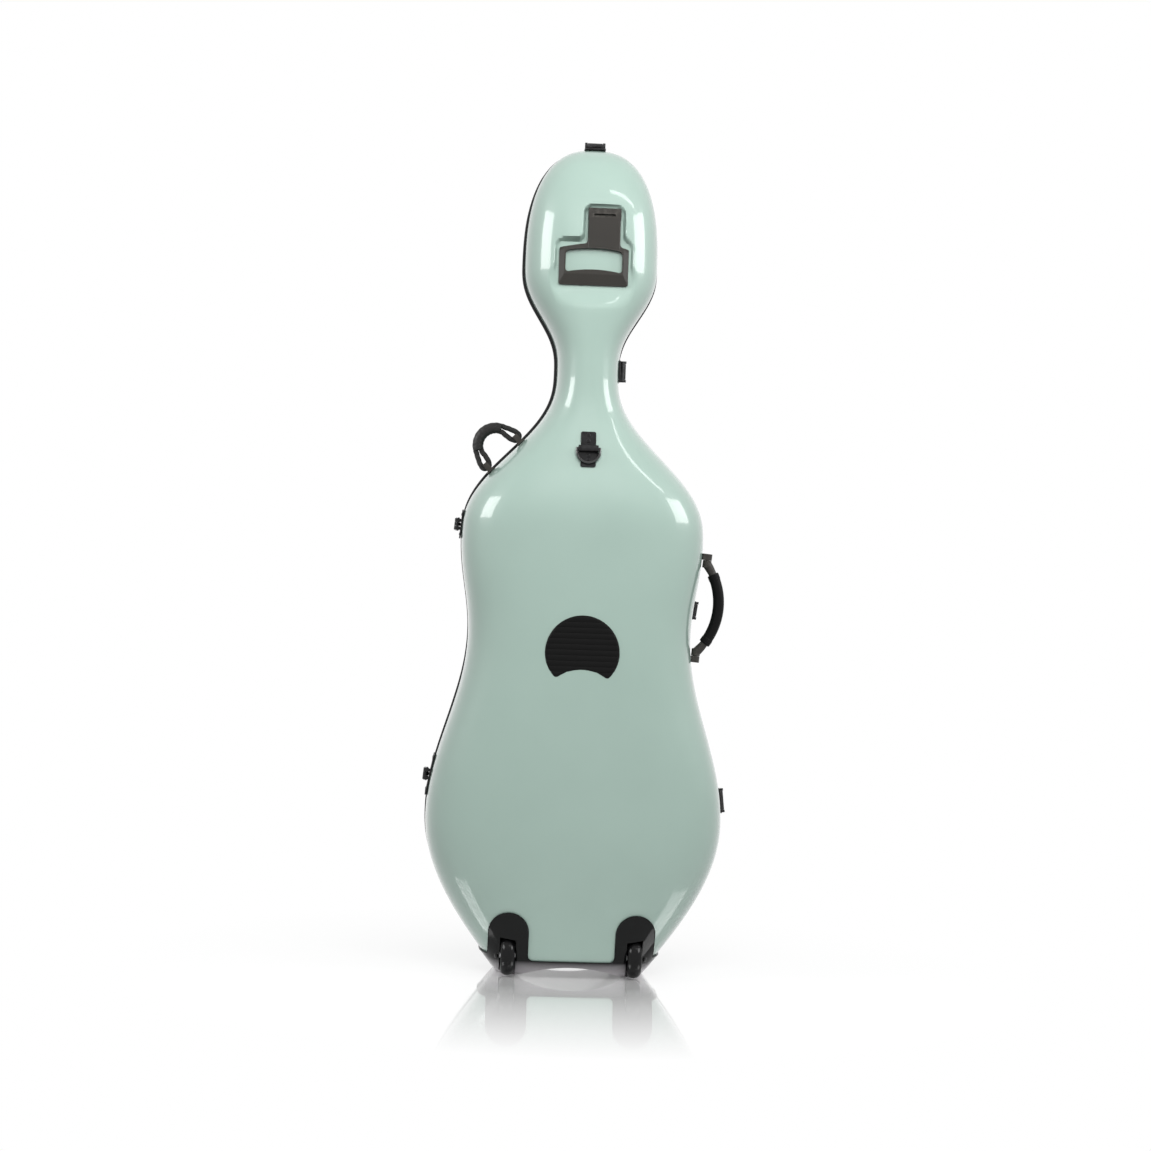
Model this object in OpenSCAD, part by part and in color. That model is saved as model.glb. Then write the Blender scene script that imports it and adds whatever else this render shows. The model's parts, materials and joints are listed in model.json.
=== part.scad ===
// Hard-shell cello case, standing on its base: back shell at -Y, hinged lid at +Y, Z up.
// The two shells are lofted from one outline and a depth profile each, and every fitting
// takes its place from those same curves.

/* [Shells] */
// Height from the floor to the top of the shells
case_h = 1320; // [1290:5:1350]
// Thickness of the moulded wall
wall = 3; // [2.5:0.1:4]
// Height of each shell's share of the black rim line
rim_h = 3.2; // [2.6:0.1:3.6]
// How far the rim pieces stand out from the shell
rim_proud = 2.4; // [1.6:0.1:2.8]
// Gap between closed moving faces
lid_gap = 0.3; // [0.2:0.05:0.5]

/* [Outline] */
// Width of the base on the floor
base_w = 234; // [214:2:254]
// Width across the lower bouts
bout_w = 474; // [454:2:490]
// Height of the widest point of the lower bouts
bout_at = 245; // [230:5:260]
// Width at the waist
waist_w = 357; // [340:1:370]
// Height of the waist
waist_at = 540; // [525:5:555]
// Width across the upper bouts
upper_w = 388; // [374:2:400]
// Height of the widest point of the upper bouts
upper_at = 690; // [675:5:700]
// Width at the neck
neck_w = 99; // [92:1:108]
// Height of the narrowest point of the neck
neck_at = 964; // [950:2:975]
// Width of the head
head_w = 213; // [200:1:224]
// Height where the head's crown begins
head_at = 1134; // [1125:1:1142]
// Height of the crown above that
crown_rise = 186; // [170:1:200]
// Fullness of the crown, where 2 is an ellipse
crown_full = 2.5; // [2.3:0.1:2.8]
// Fullness of the body's sections, where 2 is an ellipse
body_full = 3.4; // [3:0.1:3.8]
// Fullness of the neck's and head's sections
head_full = 2.6; // [2.4:0.1:2.9]

/* [Back depth] */
// Depth of the back shell at the floor
back_base_d = 100; // [92:1:108]
// Depth of the back shell at the lower bouts
back_bout_d = 138; // [130:1:146]
// Depth of the back shell at the upper bouts
back_upper_d = 131; // [124:1:138]
// Depth of the back shell at the neck
back_neck_d = 90; // [84:1:96]
// Depth of the back shell at the head
back_head_d = 97; // [92:1:104]

/* [Lid depth] */
// Depth of the lid at the floor
lid_base_d = 88; // [80:1:96]
// Depth of the lid at the lower bouts
lid_bout_d = 122; // [114:1:128]
// Depth of the lid over the bridge
lid_bridge_d = 132; // [126:1:140]
// Height of the bridge
bridge_at = 480; // [460:5:500]
// Depth of the lid at the upper bouts
lid_upper_d = 116; // [108:1:122]
// Depth of the lid at the neck
lid_neck_d = 62; // [57:1:68]
// Depth of the lid at the head
lid_head_d = 67; // [62:1:74]

/* [Base guard] */
// Height of the solid foot under the shells
deck_z = 22; // [20:0.5:25]
// Thickness of the guard's skirt outside the shells
guard_t = 2.4; // [1.8:0.1:3]
// Height of the skirt between the wheel housings
skirt_mid_z = 27; // [26:0.5:30]
// Height of the skirt outside the wheel housings
skirt_side_z = 34; // [32:0.5:38]
// Radius of the rounded lower edge
foot_round = 26; // [20:1:28]
// Width of the arch under the base
arch_w = 172; // [150:2:180]
// Height of the arch under the base
arch_h = 18; // [12:0.5:19]
// Fillet between the skirt and the wheel housings
skirt_fillet = 9; // [6:0.5:12]

/* [Wheels] */
// Distance of each wheel's middle inside the outline at its axle
wheel_in = 41.07; // [38:0.01:46]
// Diameter of the tyre
wheel_d = 64; // [60:1:68]
// Width of the tyre
wheel_w = 22; // [20:0.5:23]
// Height of the tyre above the floor when the case stands
wheel_lift = 2; // [1:0.25:3]
// How far the tyre stands out behind the guard
wheel_proud = 9; // [7:0.5:11]
// Outer diameter of the ball bearings
bearing_d = 22; // [22:0.5:24]
// Width of each ball bearing
bearing_w = 7; // [6:0.5:7.5]
// Diameter of the axle
axle_d = 8; // [7:0.25:8.5]
// Width of the slot that the wheel turns in
well_w = 25.4; // [25:0.2:27]
// Space round the tyre in its slot
well_gap = 4; // [3:0.25:5]
// Thickness of the housing round the slot
well_wall = 4; // [3.5:0.25:5]
// Width of each wheel housing's rounded face
housing_w = 62; // [56:1:66]
// Height of the top of each housing's face
housing_top = 104; // [98:1:110]

/* [Hinges] */
// Distance of the hinge line outside the outline
hinge_off = 8; // [7.5:0.25:9.5]
// Height of the lower hinge
hinge_low_at = 309; // [300:1:320]
// Height of the upper hinge
hinge_high_at = 712; // [700:1:720]
// Length of the lower hinge's leaves
hinge_low_len = 66; // [56:1:72]
// Length of the upper hinge's leaves
hinge_high_len = 46; // [40:1:52]
// Diameter of the hinge knuckles
knuckle_d = 9; // [8.5:0.25:10]
// Diameter of the hinge pins
hinge_pin_d = 4; // [3.5:0.25:4.5]
// Thickness of the hinge leaves
leaf_t = 2.2; // [1.8:0.1:2.6]
// Width of the leaves from the rim
leaf_w = 26; // [20:1:30]

/* [Latches] */
// Length of the latch on the crown
top_latch_len = 34; // [30:1:38]
// Length of the neck latch
neck_latch_len = 35; // [31:1:39]
// Length of the waist latch
waist_latch_len = 30; // [27:1:34]
// Length of the lower bout latch
bout_latch_len = 40; // [36:1:44]
// Height of the neck latch
neck_latch_at = 966; // [958:1:974]
// Height of the waist latch
waist_latch_at = 586; // [578:1:594]
// Height of the lower bout latch
bout_latch_at = 280; // [272:1:290]
// How far the two tall latches stand out
tall_rise = 13; // [12:0.5:14]
// How far the two low latches stand out
low_rise = 9; // [8.5:0.5:10]
// Diameter of the latch pins
latch_pin_d = 3; // [2.5:0.25:3.5]
// Thickness of the latch plates
latch_plate_t = 2.5; // [2:0.1:3]

/* [Head handle] */
// Height of the flap's hinge line
flap_at = 1202; // [1196:1:1206]
// Width of the flap's frame
flap_w = 110; // [104:1:114]
// Distance from the hinge line to the bottom of the frame
flap_drop = 107; // [102:1:110]
// Height of the frame
frame_h = 66; // [60:1:70]
// Width of the finger window
window_w = 90; // [84:1:94]
// Height of the finger window
window_h = 37; // [34:1:40]
// Width of the stem
stem_w = 52; // [46:1:54]
// How far the stem sits to the right of the frame's middle
stem_off = 15; // [10:1:18]
// Thickness of the flap
flap_t = 9; // [8:0.5:10]
// Depth of the moulded recess at its middle
recess_d = 12; // [11:0.5:14]
// Space round the handle in its recess
recess_gap = 7; // [6:0.5:8]
// Height of the screwed tab above the hinge line
tab_h = 15; // [13:0.5:17]
// Diameter of the flap's hinge pin
flap_pin_d = 4; // [3.5:0.25:4.5]

/* [Strap anchor] */
// Height of the anchor's cross bar
anchor_at = 834; // [824:1:844]
// Width of the anchor plate
anchor_w = 24; // [20:0.5:28]
// Length of the anchor plate
anchor_len = 58; // [52:1:62]
// Width of the cross bar
anchor_bar_w = 31; // [29:0.5:34]
// Thickness of the ring's wire
ring_wire_d = 4; // [3.5:0.25:4.5]
// Drop of the ring below its bar
ring_drop = 23; // [22:0.5:25]

/* [Back pad] */
// Height of the pad's middle
pad_at = 515; // [505:1:525]
// Diameter of the pad
pad_d = 117; // [110:1:124]
// Radius of the hollow cut from its lower edge
pad_bite_r = 63; // [58:1:68]
// Height of that hollow's top above the pad's lowest point
pad_bite_h = 31; // [26:1:34]
// Distance from rib to rib
rib_pitch = 8.7; // [8.2:0.1:9.4]
// Depth of the pad's pocket in the shell
pad_sink = 1.2; // [0.8:0.1:1.4]

/* [Side handle] */
// Height of the middle of the side handle
handle_at = 590; // [584:1:596]
// Distance between the handle's two eyes
handle_span = 142; // [136:1:150]
// How far the grip bows out from the pivot line
handle_bow = 27; // [24:1:30]
// Diameter of the grip
grip_d = 18.4; // [17:0.2:20]
// Diameter of the handle's core
core_d = 13; // [12:0.5:14]
// Distance of the pivot line outside the outline
handle_off = 8.5; // [8:0.25:10]
// Distance of the handle behind the rim
handle_back = 46; // [42:1:52]
// Diameter of the handle's pivot pins
handle_pin_d = 5; // [4.5:0.25:5.5]

/* [Shoulder handle] */
// Height of the middle of the shoulder handle's anchors
shoulder_at = 822; // [816:1:828]
// Distance between its two anchors
shoulder_span = 66; // [62:1:70]
// Height of the top of the grip's middle line above the anchors
shoulder_rise = 53; // [50:1:56]
// Diameter of the shoulder grip
shoulder_grip_d = 18; // [16.5:0.5:19]
// Diameter of the loops at its ends
loop_d = 8.6; // [8:0.2:9.2]
// Distance of the shoulder handle behind the rim
shoulder_back = 22; // [20:1:26]

/* [Inside] */
// Thickness of the lining
lining_t = 4; // [3:0.25:5]
// Gap between soft pieces and what they lie on
soft_gap = 0.4; // [0.3:0.05:0.6]
// Width of the lower bolster
low_bolster_w = 270; // [250:5:290]
// Height of the lower bolster
low_bolster_h = 90; // [80:2:100]
// Height above the floor of the lower bolster
low_bolster_at = 200; // [190:5:215]
// Width of the upper bolster
high_bolster_w = 220; // [200:5:240]
// Height of the upper bolster
high_bolster_h = 76; // [68:2:84]
// Height above the floor of the upper bolster
high_bolster_at = 660; // [640:5:670]
// Thickness of the bolsters
bolster_t = 30; // [24:1:34]
// Height of the neck cradle's lower end
cradle_at = 872; // [866:2:880]
// Length of the neck cradle
cradle_len = 56; // [48:2:60]
// Radius of the neck cradle's channel
cradle_r = 23; // [21:0.5:25]
// Width of the strap over the neck
neck_strap_w = 30; // [26:1:34]
// Width of the block under the instrument
block_w = 132; // [120:2:136]
// Height of the block under the instrument
block_h = 34; // [28:1:40]
// Radius of the end pin's hole in the block
pin_hole_r = 15; // [13:0.5:17]
// Distance of each bow from the middle
bow_x = 62; // [56:1:68]
// Height of the bow clasps
clasp_at = 690; // [670:5:700]
// Height of the tip pockets
pocket_z = 96; // [90:2:104]

/* [Hidden] */
$fn = 48;

// Finishes
mint = [0.66, 0.83, 0.77];
black = [0.07, 0.07, 0.07];
rubber = [0.10, 0.10, 0.10];
steel = [0.70, 0.70, 0.72];
plush = [0.22, 0.23, 0.25];

// Heights are given for a case whose crown ends crown_rise above head_at, and follow
// case_h, so that every fitting keeps its place on the outline
up = case_h / (head_at + crown_rise);
bout_z = bout_at * up;
waist_z = waist_at * up;
upper_z = upper_at * up;
neck_z = neck_at * up;
head_z = head_at * up;
bridge_z = bridge_at * up;
hinge_low_z = hinge_low_at * up;
hinge_high_z = hinge_high_at * up;
neck_latch_z = neck_latch_at * up;
waist_latch_z = waist_latch_at * up;
bout_latch_z = bout_latch_at * up;
flap_z = flap_at * up;
anchor_z = anchor_at * up;
pad_z = pad_at * up;
handle_z = handle_at * up;
shoulder_z = shoulder_at * up;
low_bolster_z = low_bolster_at * up;
high_bolster_z = high_bolster_at * up;
cradle_z = cradle_at * up;
clasp_z = clasp_at * up;

// The box is centred on the origin in Y, so the rim plane stands a little in front of it
rim_y = (back_bout_d - lid_bridge_d) / 2;

// Curves that join two sizes, each from 0 to 1
function leave_sloped(u) = sin(90 * u);
function level_gentle(u) = (1 - cos(180 * u)) / 2;
function level_steep(u) = u * u * u * (u * (u * 6 - 15) + 10);
function blend(kind, u) = kind == "sloped" ? leave_sloped(u)
    : kind == "steep" ? level_steep(u) : level_gentle(u);

// A profile is a list of [height, size, curve up to the next stop]
function span_of(stops, z) =
    z >= stops[len(stops) - 1][0] ? len(stops) - 2
    : [for (i = [0 : len(stops) - 2]) if (z < stops[i + 1][0]) i][0];
function profile(stops, z) =
    let (i = span_of(stops, z), a = stops[i], b = stops[i + 1],
        u = min(1, max(0, (z - a[0]) / (b[0] - a[0]))))
    a[1] + (b[1] - a[1]) * blend(a[2], u);
function slope(stops, z) = (profile(stops, z + 0.5) - profile(stops, z - 0.5));

outline = [[0, base_w / 2 - guard_t, "sloped"], [bout_z, bout_w / 2, "gentle"],
    [waist_z, waist_w / 2, "gentle"], [upper_z, upper_w / 2, "steep"],
    [neck_z, neck_w / 2, "steep"], [head_z, head_w / 2, "gentle"]];
back_depth = [[0, back_base_d, "sloped"], [bout_z, back_bout_d, "gentle"],
    [upper_z, back_upper_d, "steep"], [neck_z, back_neck_d, "gentle"],
    [head_z, back_head_d, "gentle"]];
lid_depth = [[0, lid_base_d, "sloped"], [bout_z, lid_bout_d, "gentle"],
    [bridge_z, lid_bridge_d, "gentle"], [upper_z, lid_upper_d, "steep"],
    [neck_z, lid_neck_d, "gentle"], [head_z, lid_head_d, "gentle"]];
fullness = [[0, body_full, "gentle"], [upper_z, body_full, "gentle"],
    [neck_z, head_full, "gentle"], [head_z, head_full, "gentle"]];

crown_h = case_h - head_z;
crown_zs = 7;
shell_segs = 16;
function crown(u) = pow(max(0, 1 - pow(min(1, u), crown_full)), 1 / crown_full);
function foot_cut(z) = z < foot_round ? foot_round - sqrt(pow(foot_round, 2) - pow(foot_round - z, 2)) : 0;

// Half width and depth, set inwards by o along the surface's own normal
function inset(stops, z, o) = z > head_z
    ? (profile(stops, head_z) - o) * crown((z - head_z) / (crown_h - o))
    : profile(stops, z) - o * norm([1, slope(stops, min(z, head_z - 0.5))]);
function half_width(z, o = 0) = inset(outline, z, o);
function depth(stops, z, o = 0) = inset(stops, z, o) - foot_cut(z);

// One section of a half shell from the right rim round the belly to the left rim,
// with straight sides on to the plane y = front where that lies past the rim
function signed_pow(v, p) = sign(v) * pow(abs(v), p);
function section(stops, z, o, segs, front = -rim_h) =
    let (w = half_width(z, o), d = depth(stops, z, o) - rim_h, n = 2 / profile(fullness, z))
    concat(front > -rim_h ? [[w, front, z]] : [],
        [for (j = [0 : segs])
            let (t = 180 * j / segs)
            [w * signed_pow(cos(t), n), -rim_h - d * pow(sin(t), n), z]],
        front > -rim_h ? [[-w, front, z]] : []);
// Depth of the surface in front of any point of the outline's plane
function skin_depth(stops, x, z, o = 0) =
    let (n = profile(fullness, z))
    rim_h + (depth(stops, z, o) - rim_h) * pow(max(0, 1 - pow(abs(x) / half_width(z, o), n)), 1 / n);

body_steps = [[0, bout_z, 5], [bout_z, waist_z, 6], [waist_z, upper_z, 4],
    [upper_z, neck_z, 8], [neck_z, head_z, 6]];
function heights(z0, z1, o) = concat([z0],
    [for (s = body_steps) for (k = [0 : s[2] - 1])
        let (z = s[0] + (s[1] - s[0]) * k / s[2]) if (z > z0 + 2 && z < z1 - 2) z],
    z1 >= case_h ? [for (k = [0 : crown_zs - 1]) head_z + (crown_h - o) * sin(90 * k / crown_zs)]
    : [z1]);

// Loft through rings of equally many points; a tip closes the crown
function ring_walls(rows, n, first = 0) =
    [for (i = [0 : rows - 2]) for (j = [0 : n - 1])
        let (a = first + i * n + j, b = first + i * n + (j + 1) % n)
        for (f = [[a, b, b + n], [a, b + n, a + n]]) f];
module loft(rings, tip = undef) {
    n = len(rings[0]);
    rows = len(rings);
    top = (rows - 1) * n;
    points = concat([for (r = rings) for (p = r) p], is_undef(tip) ? [] : [tip]);
    cap = is_undef(tip) ? [[for (j = [0 : n - 1]) top + j]]
        : [for (j = [0 : n - 1]) [top + j, top + (j + 1) % n, rows * n]];
    polyhedron(points, concat([[for (j = [n - 1 : -1 : 0]) j]], ring_walls(rows, n), cap));
}

// A solid half, set in by o, between two heights
module half_solid(stops, o, z0, z1 = case_h, segs = shell_segs, front = -rim_h) {
    zs = heights(z0, z1, o);
    loft([for (z = zs) section(stops, z, o, segs, front)],
        z1 >= case_h ? [0, front, case_h - o] : undef);
}

// A hollow half between the insets outer and inner, open at the rim plane
module half_shell(stops, outer, inner, z0, segs) {
    so = heights(z0, case_h, outer);
    si = concat([z0 + inner - outer], [for (i = [1 : len(so) - 1])
        so[i] < head_z ? so[i] : head_z + (so[i] - head_z) * (crown_h - inner) / (crown_h - outer)]);
    rows = len(so);
    n = segs + 1;
    points = concat([for (z = so) for (p = section(stops, z, outer, segs)) p],
        [for (z = si) for (p = section(stops, z, inner, segs)) p],
        [[0, -rim_h, case_h - outer], [0, -rim_h, case_h - inner]]);
    in0 = rows * n;
    tip = 2 * rows * n;
    top = (rows - 1) * n;
    skin = [for (i = [0 : rows - 2]) for (j = [0 : segs - 1])
        let (a = i * n + j)
        for (f = [[a, a + 1, a + n + 1], [a, a + n + 1, a + n],
                [in0 + a, in0 + a + n + 1, in0 + a + 1], [in0 + a, in0 + a + n, in0 + a + n + 1]]) f];
    crown_fan = [for (j = [0 : segs - 1])
        for (f = [[top + j, top + j + 1, tip], [in0 + top + j, tip + 1, in0 + top + j + 1]]) f];
    rim = [for (i = [0 : rows - 2]) let (a = i * n)
        for (f = [[a, a + n, in0 + a + n, in0 + a],
                [a + segs, in0 + a + segs, in0 + a + segs + n, a + segs + n]]) f];
    ends = [[for (j = [segs : -1 : 0]) j], [for (j = [0 : segs]) in0 + j],
        [0, in0, in0 + segs, segs],
        [top, tip, tip + 1, in0 + top], [top + segs, in0 + top + segs, tip + 1, tip]];
    polyhedron(points, concat(skin, crown_fan, rim, ends));
}

// A tube swept along points of the X-Z plane, with rings square to the path
function unit(v) = v / norm(v);
module swept_tube(path, r, sides) {
    last = len(path) - 1;
    loft([for (i = [0 : last])
        let (t = unit(path[min(i + 1, last)] - path[max(i - 1, 0)]), across = cross([0, 1, 0], t))
        [for (k = [0 : sides - 1])
            path[i] + r * (cos(360 * k / sides) * across - sin(360 * k / sides) * [0, 1, 0])]]);
}

// Places: a half's own frame, a point of the rim, the back's middle line
module on_back() translate([0, rim_y, 0]) children();
module on_lid() translate([0, rim_y, 0]) mirror([0, 1, 0]) children();
module at_rim(z) translate([half_width(z), rim_y, z])
    rotate([0, atan(slope(outline, z)), 0]) children();
module at_crown() translate([0, rim_y, case_h]) rotate([0, -90, 0]) children();
module on_back_surface(z) translate([0, rim_y - depth(back_depth, z), z])
    rotate([atan(slope(back_depth, z)), 0, 0]) children();
module both_sides(x) for (s = [-1, 1]) translate([s * x, 0, 0]) children();
// Extrudes a shape drawn in X and Z from y0 to y1
module through_y(y0, y1) translate([0, y1, 0]) rotate([90, 0, 0]) linear_extrude(y1 - y0) children();
module along_x(r, h) rotate([0, 90, 0]) cylinder(r = r, h = h, center = true);
module along_z(r, h) cylinder(r = r, h = h, center = true);
module block(x0, x1, y0, y1, z0, z1) translate([x0, y0, z0]) cube([x1 - x0, y1 - y0, z1 - z0]);
module rounded_box(w, h, r) {
    square([w - 2 * r, h], center = true);
    square([w, h - 2 * r], center = true);
    for (x = [-1, 1], z = [-1, 1]) translate([x * (w / 2 - r), z * (h / 2 - r)]) circle(r);
}

// Wheel places
wheel_r = wheel_d / 2;
wheel_z = wheel_lift + wheel_r;
wheel_y = rim_y - depth(back_depth, wheel_z) - guard_t - wheel_proud + wheel_r;
wheel_x = half_width(wheel_z) - wheel_in;
well_r = wheel_r + well_gap;
tub_r = well_r + well_wall;
tub_w = well_w + 3 * well_wall;
bearing_fit = 0.05;
fit = 0.2;

module tub(grow = 0) {
    both_sides(wheel_x) translate([0, wheel_y, wheel_z]) along_x(tub_r + grow, tub_w + 2 * grow);
    both_sides(wheel_x) block(-tub_w / 2 - grow, tub_w / 2 + grow,
        wheel_y - tub_r - grow, wheel_y + tub_r + grow, deck_z - 1, wheel_z);
}

// Handle recess in the head
recess_y = depth(back_depth, flap_z) - recess_d;
module flap_outline(grow = 0) {
    translate([0, flap_z - flap_drop + frame_h / 2])
        rounded_box(flap_w + 2 * grow, frame_h + 2 * grow, 8 + grow);
    translate([stem_off, flap_z - (flap_drop - frame_h) / 2 + tab_h / 2])
        rounded_box(stem_w + 2 * grow, flap_drop - frame_h + tab_h + 2 * grow + 12, 5 + grow);
}
module recess_tray(grow, floor_y) on_back()
    through_y(-back_head_d - 2 * wall, -floor_y) flap_outline(recess_gap + grow);

module pad_outline(grow = 0) difference() {
    circle(pad_d / 2 + grow, $fn = 72);
    translate([0, -pad_d / 2 + pad_bite_h - pad_bite_r]) circle(pad_bite_r - grow, $fn = 72);
}

// Shells
module back_shell() color(mint) difference() {
    union() {
        on_back() half_shell(back_depth, 0, wall, deck_z, shell_segs);
        intersection() {
            recess_tray(wall, recess_y - wall);
            on_back() half_solid(back_depth, wall / 4, neck_z, case_h, shell_segs);
        }
    }
    recess_tray(0, recess_y);
    tub(fit);
    on_back() translate([0, 0, pad_z])
        through_y(-depth(back_depth, pad_z) - 5, -depth(back_depth, pad_z) + pad_sink) pad_outline(0.6);
}
module lid_shell() color(mint) on_lid() half_shell(lid_depth, 0, wall, deck_z, shell_segs);

// Rims: black profiles round the mouths, the lid's with a tongue that enters the back
function outline_at(o) = concat(
    [for (z = heights(deck_z + o, case_h, o)) [half_width(z, o), z]], [[0, case_h - o]],
    [for (z = [for (zs = [heights(deck_z + o, case_h, o)]) for (i = [len(zs) - 1 : -1 : 0]) zs[i]])
        [-half_width(z, o), z]]);
module rim_band(outer, inner) difference() {
    polygon(outline_at(outer));
    polygon(outline_at(inner));
}
tongue_t = 2;
tongue_h = 2.2;
tongue_in = wall + 2;
module above_deck() difference() {
    children();
    square([2 * bout_w, 2 * (deck_z + fit)], center = true);
}
module back_rim() color(rubber) on_back()
    through_y(-rim_h, -lid_gap / 2) above_deck() rim_band(-rim_proud, tongue_in - 0.8);
module lid_rim() color(black) on_back() {
    through_y(lid_gap / 2, rim_h) above_deck() rim_band(-rim_proud, tongue_in + tongue_t);
    through_y(-tongue_h, lid_gap / 2) rim_band(tongue_in, tongue_in + tongue_t);
}

// Base guards: the feet, the skirt and the wheel housings
arch_r = (arch_w * arch_w / 4 + arch_h * arch_h) / (2 * arch_h);
module arch() translate([0, 0, arch_h - arch_r]) rotate([90, 0, 0])
    cylinder(r = arch_r, h = 500, center = true, $fn = 120);
module guard_face() {
    square([2 * bout_w, 2 * skirt_mid_z], center = true);
    for (s = [-1, 1]) {
        translate([s * (wheel_x + bout_w / 2), 0]) square([bout_w, 2 * skirt_side_z], center = true);
        translate([s * wheel_x - housing_w / 2, 0]) square([housing_w, housing_top - housing_w / 2]);
        translate([s * wheel_x, housing_top - housing_w / 2]) circle(housing_w / 2);
        translate([s * (wheel_x - housing_w / 2 - skirt_fillet / 2), skirt_mid_z + skirt_fillet / 2])
            difference() {
                square(skirt_fillet, center = true);
                translate([-s * skirt_fillet / 2, skirt_fillet / 2]) circle(skirt_fillet);
            }
    }
}
foot_rows = 5;
skin_rows = 14;
function foot_heights(z1) = concat(
    [for (k = [0 : foot_rows]) foot_round * (1 - cos(90 * k / foot_rows))],
    [for (z = [foot_round + skin_rows : skin_rows : z1]) z], [z1 + 1]);
module guard_skin(stops, z1)
    loft([for (z = foot_heights(z1)) section(stops, z, -guard_t, shell_segs, -lid_gap / 2)]);
module guard_hollow(stops, z1) half_solid(stops, -fit, deck_z, z1, shell_segs, 1);
module rim_slot() on_back()
    block(-bout_w, bout_w, -rim_h - fit, rim_h + fit, deck_z, skirt_side_z + 1);
module base_guard() color(black) difference() {
    intersection() {
        on_back() guard_skin(back_depth, housing_top);
        union() {
            difference() {
                through_y(-300, rim_y + 1) guard_face();
                on_back() guard_hollow(back_depth, housing_top + 30);
            }
            tub();
        }
    }
    both_sides(wheel_x) translate([0, wheel_y, wheel_z]) along_x(well_r, well_w);
    both_sides(wheel_x) translate([0, wheel_y, wheel_z]) along_x(axle_d / 2 + bearing_fit, tub_w + 2);
    rim_slot();
    arch();
}
module lid_guard() color(black) difference() {
    on_lid() guard_skin(lid_depth, skirt_side_z);
    on_lid() guard_hollow(lid_depth, skirt_side_z + 20);
    rim_slot();
    arch();
}

// Wheels: rounded tyre, hub with a bearing let into each side, fixed axle with two collars
tyre_crown = 14;
hub_r = 20;
hub_w = 20;
module turned_on_wheel(side) translate([side * wheel_x, wheel_y, wheel_z]) rotate([0, 90, 0])
    rotate_extrude($fn = 96) children();
module wheel_tyre(side) color(rubber) turned_on_wheel(side) intersection() {
    translate([hub_r, -wheel_w / 2]) square([wheel_r, wheel_w]);
    translate([wheel_r - tyre_crown, 0]) circle(tyre_crown);
}
module wheel_hub(side) color("dimgray") turned_on_wheel(side) difference() {
    translate([bearing_d / 2 - 2, -hub_w / 2]) square([hub_r - bearing_d / 2 + 2, hub_w]);
    for (s = [-1, 1]) {
        translate([0, s * (hub_w / 2)])
            square([bearing_d + 2 * bearing_fit, 2 * bearing_w], center = true);
        translate([(hub_r + bearing_d / 2) / 2, s * hub_w / 2]) square([4, 8], center = true);
    }
}
module wheel_bearings(side) color(steel) turned_on_wheel(side)
    for (s = [-1, 1]) translate([0, s * (hub_w - bearing_w) / 2]) difference() {
        translate([axle_d / 2 + bearing_fit, -bearing_w / 2])
            square([bearing_d / 2 - axle_d / 2 - bearing_fit, bearing_w]);
        for (e = [-1, 1]) translate([(bearing_d + axle_d) / 4, e * bearing_w / 2])
            square([3.4, 0.8], center = true);
    }
module wheel_axle(side) color(steel) translate([side * wheel_x, wheel_y, wheel_z]) {
    along_x(axle_d / 2, tub_w);
    collar_w = (well_w - hub_w) / 2 - fit;
    for (s = [-1, 1]) translate([s * (hub_w + fit + collar_w) / 2, 0, 0])
        along_x(axle_d / 2 + 1.5, collar_w);
}

// Hinges: two leaves on the left side, turning on one straight line that clears both bouts
knuckle_len = 6;
pin_fit = 0.05;
seat = 0.15;
function hinge_x(z) = -(half_width(z) + hinge_off);
hinge_lean = atan((hinge_x(hinge_high_z) - hinge_x(hinge_low_z)) / (hinge_high_z - hinge_low_z));
module at_hinge(z) translate([hinge_x(z), rim_y, z]) rotate([0, hinge_lean, 0]) children();
module at_left_rim(z) mirror([1, 0, 0]) at_rim(z) children();
module leaf(z, len, knuckles, side) {
    web_y = rim_h + 0.4;
    web_t = 3.2;
    web_out = hinge_off - seat - leaf_t / 2;
    difference() {
        union() {
            at_left_rim(z) translate([seat + leaf_t / 2, side * (web_y + leaf_w / 2), 0]) rotate([0, 90, 0])
                linear_extrude(leaf_t, center = true) rounded_box(len, leaf_w, 5);
            at_hinge(z) for (k = knuckles) translate([0, 0, k * (knuckle_len + lid_gap)]) {
                along_z(knuckle_d / 2, knuckle_len);
                translate([web_out / 2, side * (web_y + 0.4 + web_t / 2), 0])
                    cube([web_out, web_t, knuckle_len - 1.2], center = true);
            }
        }
        at_hinge(z) along_z(hinge_pin_d / 2 + pin_fit, 40);
    }
}
module hinge_pin(z) color(steel) at_hinge(z) {
    along_z(hinge_pin_d / 2, 3 * knuckle_len + 2 * lid_gap + 2);
    for (s = [-1, 1]) translate([0, 0, s * (1.5 * knuckle_len + lid_gap + 0.8)])
        along_z(hinge_pin_d / 2 + 1, 1.2);
}

// Latches: a pinned lever on the back shell closes down over a ridge on the lid
ear_t = 4;
ear_r = 3.3;
barrel_r = 2.6;
latch_gap = 0.6;
latch_back = 20;
latch_front = 15;
pivot_y = -11;
function pivot_x(rise) = rise - ear_r - 0.2;
module latch_base(len, rise) color(black) difference() {
    union() {
        translate([seat + latch_plate_t / 2, -rim_h - 0.4 - latch_back / 2, 0]) rotate([0, 90, 0])
            linear_extrude(latch_plate_t, center = true) rounded_box(len, latch_back, 3);
        for (s = [-1, 1]) translate([0, pivot_y, s * (len / 2 - ear_t / 2 - 0.6)]) {
            translate([pivot_x(rise), 0, 0]) along_z(ear_r, ear_t);
            translate([(pivot_x(rise) + seat) / 2, 0, 0])
                cube([pivot_x(rise) - seat, 2 * ear_r, ear_t], center = true);
        }
    }
    translate([pivot_x(rise), pivot_y, 0]) along_z(latch_pin_d / 2 + pin_fit, len + 2);
}
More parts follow.
